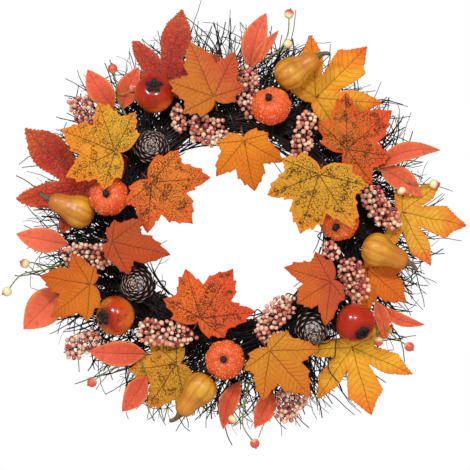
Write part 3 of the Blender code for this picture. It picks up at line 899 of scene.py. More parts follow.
def loop_line():
    """The hanging loop: an eye round the ring wire, up a leg, over the seat and down to the other eye."""
    low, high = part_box("hanging_loop")
    wire = (high.z - 0.0) / 2
    half = (high.x - low.x) / 2 - wire
    eye = (high.y - low.y) / 2 - wire
    pivot = frame["joints"][0]["pos_m"][2]
    turn = math.radians(310)
    eye_steps, arc_steps = 20, 12
    right = []
    for i in range(eye_steps + 1):
        a = turn * (1 - i / eye_steps)
        right.append(Vector((half, eye * math.cos(a), pivot - eye * math.sin(a))))
    right += smooth_line([right[-1], Vector((half, 0.6 * eye, pivot + 1.2 * eye)),
                          Vector((half, 0, pivot + 2.6 * eye)), Vector((half, 0, wire - half))], 5)[1:]
    right += [Vector((half * math.cos(a), 0, wire - half + half * math.sin(a)))
              for a in (math.pi / 2 * i / arc_steps for i in range(1, arc_steps + 1))]
    left = [Vector((-p.x, p.y, p.z)) for p in reversed(right[:-1])]
    return [(p, wire) for p in right + left]


# ---- twigs -------------------------------------------------------------------------------------
FANS = 5
FAN_SPAN = 360 / FANS        # degrees of the ring that one fan takes
LONG_REACH = 95              # millimetres from the ring's centre line to most twigs' tips
SHORT_REACH = 56
TIP_LIMIT = 121              # no twig reaches farther out than this
SHOOT_LIMIT = 88             # nor does a side shoot start farther out than this


def twig(rng, settings, start_angle, sweep, reach):
    """A bent twig with its side shoots, as lines of (point, girth)."""
    angle = start_angle + sweep * rng.random()
    around = Vector((math.cos(math.radians(angle)), math.sin(math.radians(angle)), 0)) * 2.2
    limit = RING_RADIUS + (reach + 16 * noise.noise(around)) * rng.uniform(0.70, 1.13) * MM
    if rng.random() < 0.17:
        limit = min(limit + rng.uniform(10, 28) * MM, RING_RADIUS + TIP_LIMIT * MM)
    root = RING_RADIUS + rng.uniform(-12, 24) * MM
    lean = settings.lean + math.radians(rng.gauss(0, 17))
    if rng.random() < 0.12:
        lean = math.radians(rng.uniform(-50, 95))
    heading = math.radians(angle) - lean
    curve = math.radians(rng.gauss(1.0, 3.3))
    rise = rng.uniform(-0.07, 0.07)
    point = polar(angle, root, rng.uniform(4, 17) * MM)
    girth = settings.root_radius * rng.uniform(0.7, 1.15)
    line, shoots = [], []
    for i in range(rng.randint(14, 21)):
        line.append((point.copy(), girth * (1 - 0.035 * i)))
        if i > 2 and rng.random() < 0.13:
            shoots.append((point.copy(), heading + math.radians(rng.choice((-42, 38)) + rng.gauss(0, 10)),
                           girth * (0.8 - 0.03 * i), rng.uniform(7, 20) * MM))
        heading += curve + math.radians(rng.gauss(0, 7.5))
        point = point + Vector((math.cos(heading), -rise, math.sin(heading))) * rng.uniform(5, 8) * MM
        if math.hypot(point.x - RING_CENTRE.x, point.z - RING_CENTRE.z) > limit:
            break
    lines = [line] if len(line) > 2 else []
    for base, way, thick, long in shoots:
        if math.hypot(base.x - RING_CENTRE.x, base.z - RING_CENTRE.z) > RING_RADIUS + SHOOT_LIMIT * MM:
            continue
        offset = Vector((math.cos(way), rng.uniform(-0.15, 0.15), math.sin(way)))
        bend = Vector((math.cos(way + 0.35), 0, math.sin(way + 0.35)))
        lines.append([(base, thick), (base + offset * long * 0.5, thick * 0.85),
                      (base + (offset + bend) * long * 0.5, thick * 0.6)])
    return lines


def keep_behind(point):
    """Holds a twig's point between the twigs' back and the decorations."""
    point.y = min(max(point.y, FAN_LOW.y + 1 * MM), FAN_HIGH.y + 3 * MM)
    return point


def build_twigs(settings):
    recipe = tube_recipe("Twigs", bark_finish("twig bark", settings.bark, 700.0))
    for number in range(FANS):
        rng = random.Random(100 + number)
        start = FAN_SPAN * number
        lines = []
        for _ in range(settings.per_fan):
            lines += twig(rng, settings, start, FAN_SPAN, LONG_REACH)
        for _ in range(settings.per_fan // 2):
            lines += twig(rng, settings, start, FAN_SPAN, SHORT_REACH)
        lines = [[(keep_behind(p), g) for p, g in line] for line in lines]
        for _ in range(settings.per_fan // 2):
            lines.append(brush_twig(rng, settings, start + FAN_SPAN * rng.random()))
        piece = grown(f"twigs_{number + 1}", line_mesh("twig lines", lines), recipe, sides=4)
        fit(piece, "twig_bark", f"twig_fan_{number + 1}")
    build_tendrils()


# Brown tendrils that wander over the twigs: (degrees round the ring, millimetres out from its centre line).
TENDRILS = [
    [(76, -2), (82, 2), (88, 1), (94, 5), (99, 8)],
    [(317, 26), (314, 41), (311, 49), (308.5, 56), (305.5, 57), (304, 66), (304.5, 79)],
    [(314, 41), (309.5, 42), (307, 38), (305.5, 40)],
]


def build_tendrils():
    bm = bmesh.new()
    for route in TENDRILS:
        line = smooth_line([polar(angle, RING_RADIUS + out * MM, 33 * MM) for angle, out in route], 6)
        tube(bm, line, 0.6 * MM, 6)
    finish = stem_finish("tendril", dye(96, 50, 32), dye(52, 28, 22))
    fit(add_object("brown_tendrils", mesh_from("tendrils", bm), finish), "twig_bark")


def brush_twig(rng, settings, angle):
    """A fine twig that lies along the ring and is caught under the binding wire."""
    out = rng.uniform(-16, 22)
    depth = BUNDLE_DEPTH + math.sqrt(max(BUNDLE_RADIUS ** 2 - (out * MM) ** 2, 0)) + rng.uniform(-2, 1.5) * MM
    if abs(out * MM) > BUNDLE_RADIUS:
        depth = rng.uniform(10, 24) * MM
    span = rng.uniform(14, 34)
    drift = rng.uniform(-8, 16)
    line = []
    for i in range(6):
        t = i / 5
        line.append((polar(angle - span * t, RING_RADIUS + (out + drift * t * t) * MM,
                           depth + rng.uniform(-0.8, 0.8) * MM), settings.root_radius * (0.85 - 0.4 * t)))
    return line


# ---- leaves ------------------------------------------------------------------------------------
# Half outlines from the tip to the stalk: (degrees from the midrib, share of length).
OUTLINES = {
    "broad": [(0, 1.0), (4, 0.92), (8, 0.86), (11, 0.875), (14, 0.80), (18, 0.76), (21, 0.775),
              (24, 0.68), (27, 0.61), (29, 0.60), (32, 0.64), (36, 0.715), (39, 0.70), (42, 0.78),
              (46, 0.86), (50, 0.94), (54, 0.87), (57, 0.83), (61, 0.845), (64, 0.76), (68, 0.70),
              (71, 0.705), (74, 0.63), (77, 0.61), (80, 0.61), (84, 0.645), (87, 0.63), (90, 0.68),
              (96, 0.74), (101, 0.65), (105, 0.63), (108, 0.55), (112, 0.49), (118, 0.49), (124, 0.52),
              (129, 0.43), (138, 0.34), (150, 0.25), (168, 0.14), (180, 0.08)],
    "deep": [(0, 1.0), (3, 0.94), (6, 0.885), (9, 0.84), (12, 0.80), (15, 0.78), (18, 0.765), (19.5, 0.75),
             (21, 0.66), (22.5, 0.58), (24, 0.49), (26, 0.38), (28, 0.32), (31, 0.36), (33, 0.46), (35, 0.56),
             (38, 0.64), (42, 0.72), (45, 0.80), (50, 0.93), (54, 0.83), (58, 0.75), (62, 0.69), (65, 0.67),
             (67, 0.56), (70, 0.46), (74, 0.35), (78, 0.30), (83, 0.35), (87, 0.44), (91, 0.52), (96, 0.59),
             (102, 0.66), (106, 0.58), (111, 0.50), (116, 0.46), (120, 0.38), (128, 0.29), (140, 0.21),
             (160, 0.14), (180, 0.09)],
    "red": [(0, 1.0), (3, 0.95), (7, 0.885), (11, 0.82), (14, 0.76), (16, 0.72), (18, 0.69), (20, 0.62),
            (22, 0.50), (24, 0.40), (26, 0.34), (29, 0.34), (33, 0.40), (38, 0.52), (43, 0.64), (48, 0.78),
            (53, 0.86), (58, 0.78), (63, 0.68), (68, 0.58), (73, 0.48), (79, 0.40), (86, 0.40), (92, 0.48),
            (98, 0.56), (104, 0.62), (110, 0.52), (118, 0.41), (130, 0.31), (148, 0.22), (168, 0.15),
            (180, 0.10)],
}
LOBES = {"broad": (0, 50, 95), "deep": (0, 50, 102), "red": (0, 53, 104)}
SERRATION = {"broad": 0.005, "deep": 0.013, "red": 0.014}

# What the maple leaves of a family share: outline, slot, how strong their main and side veins are, the
# colour of veins and speckles, how dense the speckles and how crumpled the cloth.
Family = namedtuple("Family", "outline slot vein branch ink speckle crinkle")
FAMILIES = {
    "red": Family("red", "red_silk", 0.6, 0.55, (96, 14, 12), 0, 1.1),
    "golden": Family("deep", "golden_silk", 0.42, 0.26, (170, 86, 16), 0, 0.35),
    "orange": Family("broad", "orange_silk", 0.8, 0.40, (150, 62, 24), 0, 0.25),
    "speckled": Family("broad", "speckled_silk", 0.9, 0.45, (50, 15, 11), 0.9, 0.25),
}
# What is a leaf's own: colour, second colour and the way to it in degrees, colour of edge and tips and
# how much the edge and the tips take of it, cupping, and the reach of its five lobes from left to right.
LEAVES = {
    "red_leaf_1": ((196, 58, 32), (150, 30, 22), 90, (214, 92, 36), 0.45, 0.7, -0.1,
                   (0.9, 0.84, 1, 0.95, 1)),
    "red_leaf_2": ((208, 60, 34), (160, 32, 25), 60, (220, 100, 42), 0.45, 0.8, 0.06,
                   (1, 0.98, 1, 1, 1), {"ink": (100, 16, 12)}),
    "golden_leaf_1": ((224, 156, 34), (216, 132, 26), -90, (222, 88, 30), 0.35, 0.95, 0.05,
                      (1, 0.95, 1, 1, 1)),
    "golden_leaf_2": ((218, 158, 46), (204, 130, 32), 180, (220, 78, 30), 0.4, 0.95, 0.08,
                      (0.9, 0.78, 1, 1, 1)),
    "golden_leaf_3": ((232, 174, 46), (222, 150, 36), 0, (226, 98, 34), 0.4, 0.85, -0.04,
                      (1, 1, 1, 0.95, 1), {"ink": (166, 86, 18)}),
    "orange_leaf_1": ((188, 106, 34), (184, 66, 42), 80, (190, 88, 34), 0.4, 0.3, 0.03,
                      (0.82, 0.87, 1, 0.91, 0.77)),
    "orange_leaf_2": ((216, 128, 20), (208, 108, 16), 0, (204, 96, 18), 0.5, 0.4, -0.12,
                      (0.66, 0.92, 1, 0.92, 0.72)),
    "orange_leaf_3": ((202, 108, 18), (190, 88, 14), 30, (190, 80, 16), 0.5, 0.4, 0.04,
                      (1, 1.07, 1, 0.76, 0.52)),
    "orange_leaf_4": ((166, 72, 28), (180, 68, 27), 60, (178, 60, 25), 0.5, 0.4, -0.06,
                      (0.5, 0.68, 1.03, 0.68, 0.45)),
    "orange_leaf_5": ((214, 116, 22), (204, 96, 20), 0, (196, 82, 20), 0.5, 0.5, 0.03,
                      (0.75, 0.9, 1, 0.9, 0.75)),
    "orange_leaf_6": ((176, 68, 40), (196, 92, 26), 20, (184, 72, 28), 0.4, 0.4, 0.03,
                      (0.62, 0.95, 0.8, 1.02, 0.89), {"ink": (140, 50, 24)}),
    "orange_leaf_7": ((198, 130, 32), (194, 110, 24), 10, (196, 92, 22), 0.5, 0.5, 0.05,
                      (0.6, 0.87, 1, 0.88, 0.7)),
    "speckled_leaf_1": ((206, 152, 38), (218, 134, 26), -30, (226, 118, 22), 0.8, 0.6, 0.04,
                        (0.96, 1.03, 1, 0.97, 1.03)),
    "speckled_leaf_2": ((212, 114, 34), (214, 98, 36), 90, (212, 66, 30), 0.75, 0.6, -0.05,
                        (1, 1.09, 1, 0.94, 0.8), {"speckle": 0.95}),
    "speckled_leaf_3": ((200, 106, 28), (210, 80, 32), 40, (214, 70, 30), 0.9, 0.7, 0.03,
                        (0.93, 1.05, 1.03, 0.78, 1), {"speckle": 0.95}),
    "speckled_leaf_4": ((202, 146, 36), (198, 136, 30), 0, (222, 126, 22), 0.75, 0.6, 0.02,
                        (1.07, 1.09, 1, 0.945, 0.875), {"speckle": 0.95}),
    "speckled_leaf_5": ((220, 100, 32), (208, 74, 34), 60, (206, 64, 32), 0.75, 0.6, -0.05,
                        (0.97, 0.93, 1, 1, 0.72)),
    "speckled_leaf_6": ((206, 150, 40), (210, 138, 34), 0, (214, 122, 28), 0.7, 0.5, 0.04,
                        (1.12, 1.05, 0.9, 0.76, 0.66), {"speckle": 0.85}),
}
LeafLook = namedtuple("LeafLook", "family body second side edge rim tips cup lobes seed")


def leaf_look(seed, node):
    body, second, side, edge, rim, tips, cup, lobes, *changes = LEAVES[node]
    family = FAMILIES[node.split("_")[0]]._replace(**(changes[0] if changes else {}))
    return LeafLook(family._replace(ink=dye(*family.ink)), dye(*body), dye(*second), side, dye(*edge), rim,
                    tips, cup, lobes, seed)


def leaf_edge(look, rng):
    """The leaf's whole outline in units of its length: its lobes by the look's shares, with fine teeth."""
    kind = look.family.outline
    half = OUTLINES[kind]
    far, near = LOBES[kind][2], LOBES[kind][1]
    places = (-180, -far, -near, 0, near, far, 180)
    shares = (look.lobes[0], *look.lobes, look.lobes[4])
    turns = []
    for sign in (1, -1):
        turns.append([(sign * a, r * float(np.interp(sign * a, places, shares)) * rng.uniform(0.985, 1.015))
                      for a, r in half])
    whole = turns[0] + [(a, r) for a, r in reversed(turns[1][1:-1])]
    corners = [Vector((r * math.sin(math.radians(a)), r * math.cos(math.radians(a)))) for a, r in whole]
    points = []
    tooth = 0.022
    for start, end in zip(corners, corners[1:] + corners[:1]):
        edge = end - start
        count = max(2, round(edge.length / tooth))
        out = Vector((-edge.y, edge.x)).normalized()
        for k in range(count):
            depth = SERRATION[kind] * (1 if k % 2 else 0) * rng.uniform(0.4, 1.2)
            points.append(start + edge * (k / count) + out * depth)
    return points


def leaf_height(x, y, kind, look, phase):
    """How far the cloth stands forward of flat, in units of the leaf's length."""
    reach = math.hypot(x, y)
    groove = 0.0
    pillow = 0.0
    for lobe in LOBES[kind]:
        for sign in ((1,) if lobe == 0 else (1, -1)):
            a = math.radians(sign * lobe)
            along = x * math.sin(a) + y * math.cos(a)
            across = abs(x * math.cos(a) - y * math.sin(a))
            if along > 0:
                groove = max(groove, math.exp(-(across / 0.028) ** 2) * (1 - 0.5 * along))
                pillow = max(pillow, math.exp(-(across / 0.11) ** 2) * along)
    wave = math.sin(3 * math.atan2(x, y) + phase) * 0.5 + math.sin(7 * math.atan2(x, y) + 2 * phase) * 0.25
    ripple = noise.noise(Vector((x * 4, y * 4, phase))) * 0.03
    return look.cup * reach ** 2 + 0.030 * wave * reach ** 2 - 0.012 * groove + 0.012 * pillow + ripple


def cloth_triangles(edge, grid):
    """Points and triangles that fill a leaf's outline evenly, and each point's distance to the edge."""
    loop = np.array([tuple(p) for p in edge])
    after = np.roll(loop, -1, axis=0)
    low, high = loop.min(axis=0), loop.max(axis=0)
    inside = []
    for row in range(int((high[1] - low[1]) / (grid * 0.866)) + 2):
        for column in range(int((high[0] - low[0]) / grid) + 2):
            x = low[0] + (column + 0.5 * (row % 2)) * grid
            y = low[1] + row * grid * 0.866
            crosses = (loop[:, 1] > y) != (after[:, 1] > y)
            with np.errstate(divide="ignore", invalid="ignore"):
                share = (y - loop[:, 1]) / (after[:, 1] - loop[:, 1])
                where = loop[:, 0] + share * (after[:, 0] - loop[:, 0])
            if np.count_nonzero(crosses & (x < where)) % 2:
                if np.hypot(loop[:, 0] - x, loop[:, 1] - y).min() > 0.55 * grid:
                    inside.append((x, y))
    points = [Vector(p) for p in loop.tolist() + inside]
    border = [(i, (i + 1) % len(edge)) for i in range(len(edge))]
    made = delaunay_2d_cdt(points, border, [list(range(len(edge)))], 1, 1e-6)
    flat = np.array([tuple(p) for p in made[0]])
    gap = np.sqrt(((flat[:, None, :] - loop[None, :, :]) ** 2).sum(axis=2)).min(axis=1)
    return flat, made[2], gap


def build_leaf(node, look, settings):
    pose = leaf_pose(node)
    rng = random.Random(look.seed)
    kind = look.family.outline
    phase = rng.uniform(0, 6)
    edge = leaf_edge(look, rng)
    lobes = [sign * lobe for lobe in LOBES[kind] for sign in ((1,) if lobe == 0 else (1, -1))]
    flat, triangles, gap = cloth_triangles(edge, settings.weave_step / pose.length)
    thick = settings.thickness / pose.length / 2
    edges = [(t[i], t[(i + 1) % 3]) for t in triangles for i in range(3)]
    shared = set(edges)
    rim_edges = [(a, b) for a, b in edges if (b, a) not in shared]
    rim_points = {i for pair in rim_edges for i in pair}

    bm = bmesh.new()
    vein_uv = bm.loops.layers.uv.new("vein")
    leaf_uv = bm.loops.layers.uv.new("leaf")
    rim_layer = bm.verts.layers.float.new("rim")
    skins = {}
    for side in (1, -1):
        skins[side] = []
        for i, (x, y) in enumerate(flat):
            z = leaf_height(x, y, kind, look, phase) + side * thick * (0.35 if i in rim_points else 1)
            offset = pose.right * x + pose.heading * y + pose.normal * z
            vert = bm.verts.new(pose.junction + offset * pose.length)
            vert[rim_layer] = max(0.0, 1 - float(gap[i]) / 0.22)
            skins[side].append(vert)
    flat_of = {vert: flat[i] for side in skins for i, vert in enumerate(skins[side])}

    def paint(face):
        face.smooth = True
        middle = sum((Vector(tuple(flat_of[v])) for v in face.verts), Vector((0, 0))) / len(face.verts)
        turn = math.degrees(math.atan2(middle.x, middle.y))
        lobe = min(lobes, key=lambda a: abs((turn - a + 180) % 360 - 180))
        a = math.radians(lobe)
        for loop in face.loops:
            x, y = flat_of[loop.vert]
            loop[vein_uv].uv = (x * math.sin(a) + y * math.cos(a), x * math.cos(a) - y * math.sin(a))
            loop[leaf_uv].uv = (x, y)

    for a, b, c in triangles:
        paint(bm.faces.new((skins[1][a], skins[1][b], skins[1][c])))
        paint(bm.faces.new((skins[-1][c], skins[-1][b], skins[-1][a])))
    for a, b in rim_edges:
        paint(bm.faces.new((skins[1][b], skins[1][a], skins[-1][a], skins[-1][b])))
    face_outward(bm)
    back = -pose.normal
    base = pose.junction
    stalk = [base + pose.heading * 0.004, base + back * 0.0008, base - pose.heading * 0.006 + back * 0.003,
             base - pose.heading * 0.013 + back * 0.008]
    tube(bm, smooth_line(stalk, 4), settings.petiole, 6, material=1)
    piece = add_object(f"{node}_cloth", mesh_from(node, bm), silk_finish(f"{node} silk", look),
                       bpy.data.materials["leaf stalk"])
    fit(piece, look.family.slot, node)


def build_leaves(settings):
    stem_finish("leaf stalk", dye(126, 74, 34), dye(90, 50, 26))
    for seed, node in enumerate(LEAVES, start=1):
        build_leaf(node, leaf_look(seed, node), settings)


# ---- fruit -------------------------------------------------------------------------------------
GOURD_RIBS = 9
PUMPKIN_RIBS = 8
# Radii along the stems, from the foot up, in units of the fruit's radius.
PUMPKIN_STEM = (0.25, 0.21, 0.18, 0.165, 0.155, 0.15, 0.15, 0.155, 0.17, 0.13)
GOURD_STEM = (0.27, 0.22, 0.18, 0.155, 0.14, 0.13, 0.125, 0.12, 0.115, 0.08)


def skin_uv(bm, item, span):
    """Lays a UV map "skin" of (share of the way along the axis, share of a turn)."""
    layer = bm.loops.layers.uv.new("skin")
    axis = item.axis
    side, front = basis(axis)
    low = (item.start - item.middle).dot(axis)
    for face in bm.faces:
        centre = face.calc_center_median() - item.middle
        home = math.atan2(centre.dot(front), centre.dot(side)) / (2 * math.pi)
        for loop in face.loops:
            offset = loop.vert.co - item.middle
            turn = math.atan2(offset.dot(front), offset.dot(side)) / (2 * math.pi)
            turn += round(home - turn)
            loop[layer].uv = ((offset.dot(axis) - low) / span, turn)


def pumpkin_shape(turn, along):
    rib = abs(math.sin(PUMPKIN_RIBS * turn / 2))
    return 0.935 + 0.065 * rib ** 0.6, -0.05 * (1 - rib) * abs(along)


def arc_profile(height, dimple, steps, start, end):
    """A fruit's half outline, bottom to top, dimpled at both ends."""
    profile = []
    for i in range(steps + 1):
        a = math.radians(start + (end - start) * i / steps)
        along = -height * math.cos(a)
        radius = math.sin(a) ** 0.86
        along *= 1 - dimple * (1 - radius) ** 3
        profile.append((along, radius))
    return [(profile[0][0], 0.0)] + profile + [(profile[-1][0], 0.0)]


def bead_recipe(material):
    """Scatters small beads over a skin."""
    r = Recipe("Sugar beads", bead_radius=0.0005, spacing=0.001, seed=1)
    points = r.scatter(2.0e6)
    beads = r.balls(points["Points"], points["Rotation"], r["Bead Radius"], 1, r.random(0.7, 1.25, 3), 5)
    return r.finish(beads, material)


def build_pumpkins(settings):
    skin = pumpkin_finish("pumpkin skin", settings.pumpkin)
    dark = calyx_finish("dark stem")
    beads = bead_recipe(bead_finish("sugar bead"))
    profile = arc_profile(0.78, 0.35, 26, 6, 174)
    for number in range(1, 5):
        node = f"pumpkin_{number}"
        item = turned(node)
        bm = bmesh.new()
        turned_body(bm, item, profile, 64, pumpkin_shape)
        face_outward(bm)
        body = mesh_from(node, bm)
        coat = grown(f"{node}_beads", body.copy(), beads, bead_radius=settings.bead_radius,
                     spacing=settings.bead_spacing, seed=number)
        axis = item.axis
        # crown: the height toward the stem, which the bead finish turns into lighter beads and painted
        # sparkle.
        rise = [max((v.co - item.middle).dot(axis) / item.radius, 0.0) for v in coat.data.vertices]
        coat.data.attributes.new("crown", "FLOAT", "POINT").data.foreach_set("value", rise)
        fit(coat, "pumpkin_foam")
        lean = basis(axis)[0] * 0.12
        foot = item.middle + axis * item.radius * 0.50
        stem = [foot + (axis * t + lean * t * t * 3) * item.radius for t in (0, 0.14, 0.28, 0.38)]
        bm = bmesh.new()
        bm.from_mesh(body)
        tube(bm, smooth_line(stem, 3), [item.radius * r for r in PUMPKIN_STEM], 10, material=1)
        fit(add_object(f"{node}_skin", mesh_from(node, bm), skin, dark), "pumpkin_foam", node)


def build_persimmons(settings):
    dark = calyx_finish("calyx")
    # glow: how much of the warm orange patch each fruit gets, partly its own colour and partly painted light.
    for number, glow in ((1, 0.35), (2, 1.0), (3, 0.1)):
        node = f"persimmon_{number}"
        skin = persimmon_finish(f"{node} lacquer", settings.persimmon, glow)
        item = turned(node)
        bm = bmesh.new()
        turned_body(bm, item, arc_profile(0.90, 0.22, 26, 5, 175), 48,
                    lambda turn, along: (0.985 + 0.015 * math.cos(4 * turn), 0.0))
        face_outward(bm)
        skin_uv(bm, item, 1.8 * item.radius)
        add_calyx(bm, item, random.Random(number))
        fit(add_object(f"{node}_skin", mesh_from(node, bm), skin, dark), "persimmon_foam", node)


def add_calyx(bm, item, rng):
    """A small dried crown: five curled points round a sunken eye."""
    axis = item.axis
    side, front = basis(axis)
    rows, columns = 8, 40
    top = item.middle + axis * item.radius * 0.80
    rings = []
    shift = rng.uniform(0, 6)
    ragged = [rng.uniform(-0.12, 0.12) for _ in range(columns)]
    for i in range(rows + 1):
        t = i / rows
        ring = []
        for k in range(columns):
            a = 2 * math.pi * k / columns
            star = 0.50 + 0.50 * abs(math.cos(2.5 * a + shift)) ** 1.2 + ragged[k] * t
            reach = item.radius * (0.09 + 0.50 * t * star)
            lift = item.radius * (0.02 + 0.13 * math.sin(math.pi * min(t * 1.25, 1)) - 0.16 * t * t * star
                                  + 0.03 * math.sin(5 * a + 3 * t) + 0.3 * ragged[k] * t)
            ring.append(bm.verts.new(top + axis * lift + (side * math.cos(a) + front * math.sin(a)) * reach))
        rings.append(ring)
    under = [[bm.verts.new(v.co - axis * item.radius * 0.07) for v in ring] for ring in (rings[0], rings[-1])]
    loops = [under[0]] + rings + [under[1], under[0]]
    faces = []
    for low, high in zip(loops, loops[1:]):
        faces += band(bm, low, high)
    eye = item.middle + axis * item.radius * 0.74
    tube(bm, [eye, eye + axis * item.radius * 0.10, eye + axis * item.radius * 0.17],
         [item.radius * 0.10, item.radius * 0.11, item.radius * 0.06], 10, material=1)
    for face in faces:
        face.material_index = 1
        face.smooth = True
    face_outward(bm, faces)


GOURD_PROFILE = [(-0.93, 0.0), (-0.925, 0.10), (-0.90, 0.28), (-0.83, 0.50), (-0.70, 0.72), (-0.52, 0.875),
                 (-0.32, 0.965), (-0.10, 1.0), (0.12, 0.985), (0.32, 0.93), (0.50, 0.85), (0.68, 0.755),
                 (0.86, 0.68), (1.04, 0.635), (1.22, 0.615), (1.40, 0.595), (1.56, 0.55), (1.70, 0.475),
                 (1.81, 0.37), (1.89, 0.23), (1.91, 0.11), (1.91, 0.0)]


def build_gourds(settings):
    skin = gourd_finish("gourd skin", settings.gourd)
    dark = stem_finish("gourd stem", dye(112, 88, 66), dye(70, 54, 42))
    for number in range(1, 5):
        node = f"gourd_{number}"
        item = turned(node)
        axis = item.axis
        bm = bmesh.new()
        turned_body(bm, item, GOURD_PROFILE, 54, gourd_shape)
        skin_uv(bm, item, 2.84 * item.radius)
        side = basis(axis)[0]
        foot = item.middle + axis * 1.84 * item.radius
        far = (item.end - foot).length
        stem = [foot, foot + axis * far * 0.4, foot + axis * far * 0.75 + side * far * 0.12,
                foot + axis * far + side * far * 0.34]
        tube(bm, smooth_line(stem, 3), [item.radius * r for r in GOURD_STEM], 9, material=1)
        face_outward(bm)
        fit(add_object(f"{node}_skin", mesh_from(node, bm), skin, dark), "gourd_foam", node)


def gourd_shape(turn, along):
    rib = abs(math.sin(GOURD_RIBS * turn / 2)) ** 0.7
    depth = 0.055 * max(0.0, 1 - max(along, 0) / 1.7)
    return 1 - depth + depth * rib, 0.0


# ---- cones -------------------------------------------------------------------------------------
def scale_mesh():
    """One cone scale of unit length, growing along +X with its face up +Z."""
    bm = bmesh.new()
    layer = bm.verts.layers.float.new("edge")
    rows = [(0.0, 0.16, 0.0), (0.35, 0.30, 0.02), (0.72, 0.50, 0.10), (0.93, 0.40, 0.20), (1.0, 0.20, 0.25)]
    rings = []
    for x, half, rise in rows:
        ring = []
        for y, z in ((-half, rise), (0, rise + 0.09), (half, rise), (0, rise - 0.10)):
            vert = bm.verts.new((x, y, z))
            outer = abs(y) > 0 or x >= 0.9
            vert[layer] = (x * (1.0 if outer else 0.6)) ** 2
            ring.append(vert)
        rings.append(ring)
    for low, high in zip(rings, rings[1:]):
        band(bm, low, high)
    bm.faces.new(rings[0][::-1])
    bm.faces.new(rings[-1])
    face_outward(bm)
    return mesh_from("scale", bm)


def cone_recipe(material):
    """Sets scales on a spiral about +Z: they stand out at the foot and close up at the tip."""
    r = Recipe("Cone scales", count=100, cone_radius=0.016, cone_length=0.027, scale_length=0.008)
    points = r.make("GeometryNodeMeshLine", {"Count": r["Count"], "Offset": (0.0, 0.0, 0.0)})
    index = r.make("GeometryNodeInputIndex")["Index"]
    share = (index + 0.5) / r["Count"]
    angle = index * GOLDEN_ANGLE
    width = (share * (0.47 * math.pi)).cosine() * (r["Cone Radius"] - r["Scale Length"] * 0.95)
    height = (share - 0.5) * r["Cone Length"] * 0.92
    spot = r.make("ShaderNodeCombineXYZ", {
        "X": angle.cosine() * width, "Y": angle.sine() * width, "Z": height})
    moved = r.make("GeometryNodeSetPosition", {"Geometry": points["Mesh"], "Position": spot["Vector"]})
    tilt = share * -1.25 - 0.10
    turn = r.make("ShaderNodeCombineXYZ", {"X": 0.0, "Y": tilt, "Z": angle})
    rotation = r.make("FunctionNodeEulerToRotation", {"Euler": turn["Vector"]})
    size = r["Scale Length"] * (1.10 - share * 0.42)
    copies = r.make("GeometryNodeInstanceOnPoints", {
        "Points": moved["Geometry"], "Instance": r["Geometry"], "Rotation": rotation["Rotation"],
        "Scale": size})
    return r.finish(copies["Instances"], material, smooth=False)


def build_cones(settings):
    finish = cone_finish("cone scale", settings.wood, settings.frost)
    recipe = cone_recipe(finish)
    for number in range(1, 4):
        node = f"pine_cone_{number}"
        item = turned(node)
        span = (item.end - item.start).length
        piece = grown(f"{node}_scales", scale_mesh(), recipe, count=settings.scales,
                      cone_radius=item.radius * 1.04, cone_length=span, scale_length=item.radius * 0.62)
        core = bmesh.new()
        core.from_mesh(piece.data)
        spindle = Matrix.Diagonal((item.radius * 0.55, item.radius * 0.55, span * 0.44, 1))
        bmesh.ops.create_uvsphere(core, u_segments=18, v_segments=12, radius=1.0, matrix=spindle)
        core.to_mesh(piece.data)
        core.free()
        centre = (item.start + item.end) / 2
        turn = (item.end - item.start).to_track_quat("Z", "Y").to_matrix().to_4x4()
        piece.data.transform(Matrix.Translation(centre) @ turn)
        fit(piece, "pine_cone", node)


# ---- berries -----------------------------------------------------------------------------------
# Sprays without a CAD node: degrees round the ring, millimetres out and forward, heading, size.
LOOSE_SPRAYS = ((289, 73, 34, 247, (44, 27, 13)), (346, -5, 50, -60, (22, 15, 9)))


def pearl_recipe(material):
    """Packs pearls over a spray's lumpy shape."""
    r = Recipe("Pearls", pearl_radius=0.0022, spacing=0.004, seed=1)
    points = r.scatter(2.0e5)
    push = r.make("ShaderNodeVectorMath", {0: points["Normal"], "Scale": r.random(-0.0022, 0.0016, 8)},
                  operation="SCALE")
    ragged = r.make("GeometryNodeSetPosition", {"Geometry": points["Points"], "Offset": push["Vector"]})
    pearls = r.balls(ragged["Geometry"], points["Rotation"], r["Pearl Radius"], 2,
                     r.random(0.78, 1.08, 7), 9)
    return r.finish(pearls, material)


def spray_shape(spot, heading, size):
    """Corners and triangles of an egg-shaped spray that the frame has no node for."""
    bm = bmesh.new()
    bmesh.ops.create_icosphere(bm, subdivisions=3, radius=0.5)
    a = math.radians(heading)
    axis = Vector((math.cos(a), 0, math.sin(a)))
    across = Vector((-math.sin(a), 0, math.cos(a)))
    points = np.array([tuple(spot + axis * v.co.x * size[0] + across * v.co.z * size[1]
                             + Vector((0, v.co.y * size[2], 0))) for v in bm.verts])
    triangles = np.array([[v.index for v in f.verts] for f in bm.faces])
    bm.free()
    return points, triangles, spot - axis * size[0] / 2, spot + axis * size[0] / 2


def build_spray(node, number, recipe, stalk, settings, points, triangles, start, end):
    shape = bpy.data.meshes.new(node)
    centre = np.array((start + end) / 2)
    lumps = [0.96 + 0.26 * noise.noise(Vector(p) * 90) for p in points]
    swollen = centre + (points - centre) * np.array(lumps)[:, None]
    shape.from_pydata([tuple(p) for p in swollen], [], [tuple(t) for t in triangles.tolist()])
    pearls = grown(f"{node}_pearls", shape, recipe, pearl_radius=settings.pearl_radius,
                   spacing=settings.pearl_spacing, seed=number)
    fit(pearls, "berry_pearl", *([node] if node in frame["nodes"] else []))
    bm = bmesh.new()
    rng = random.Random(number)
    line = smooth_line([start, Vector(centre), end], 6)
    tube(bm, line, 0.6 * MM, 6)
    inner = [Vector(p) for p in centre + (swollen - centre) * 0.85]
    for tip in rng.sample(inner, min(26, len(inner))):
        foot = min(line, key=lambda p: (p - tip).length)
        tube(bm, [foot, (foot + tip) / 2 + Vector((0.4, 0, 0.4)) * MM, tip], 0.35 * MM, 4)
    fit(add_object(f"{node}_stalks", mesh_from(node, bm), stalk), "green_stem")


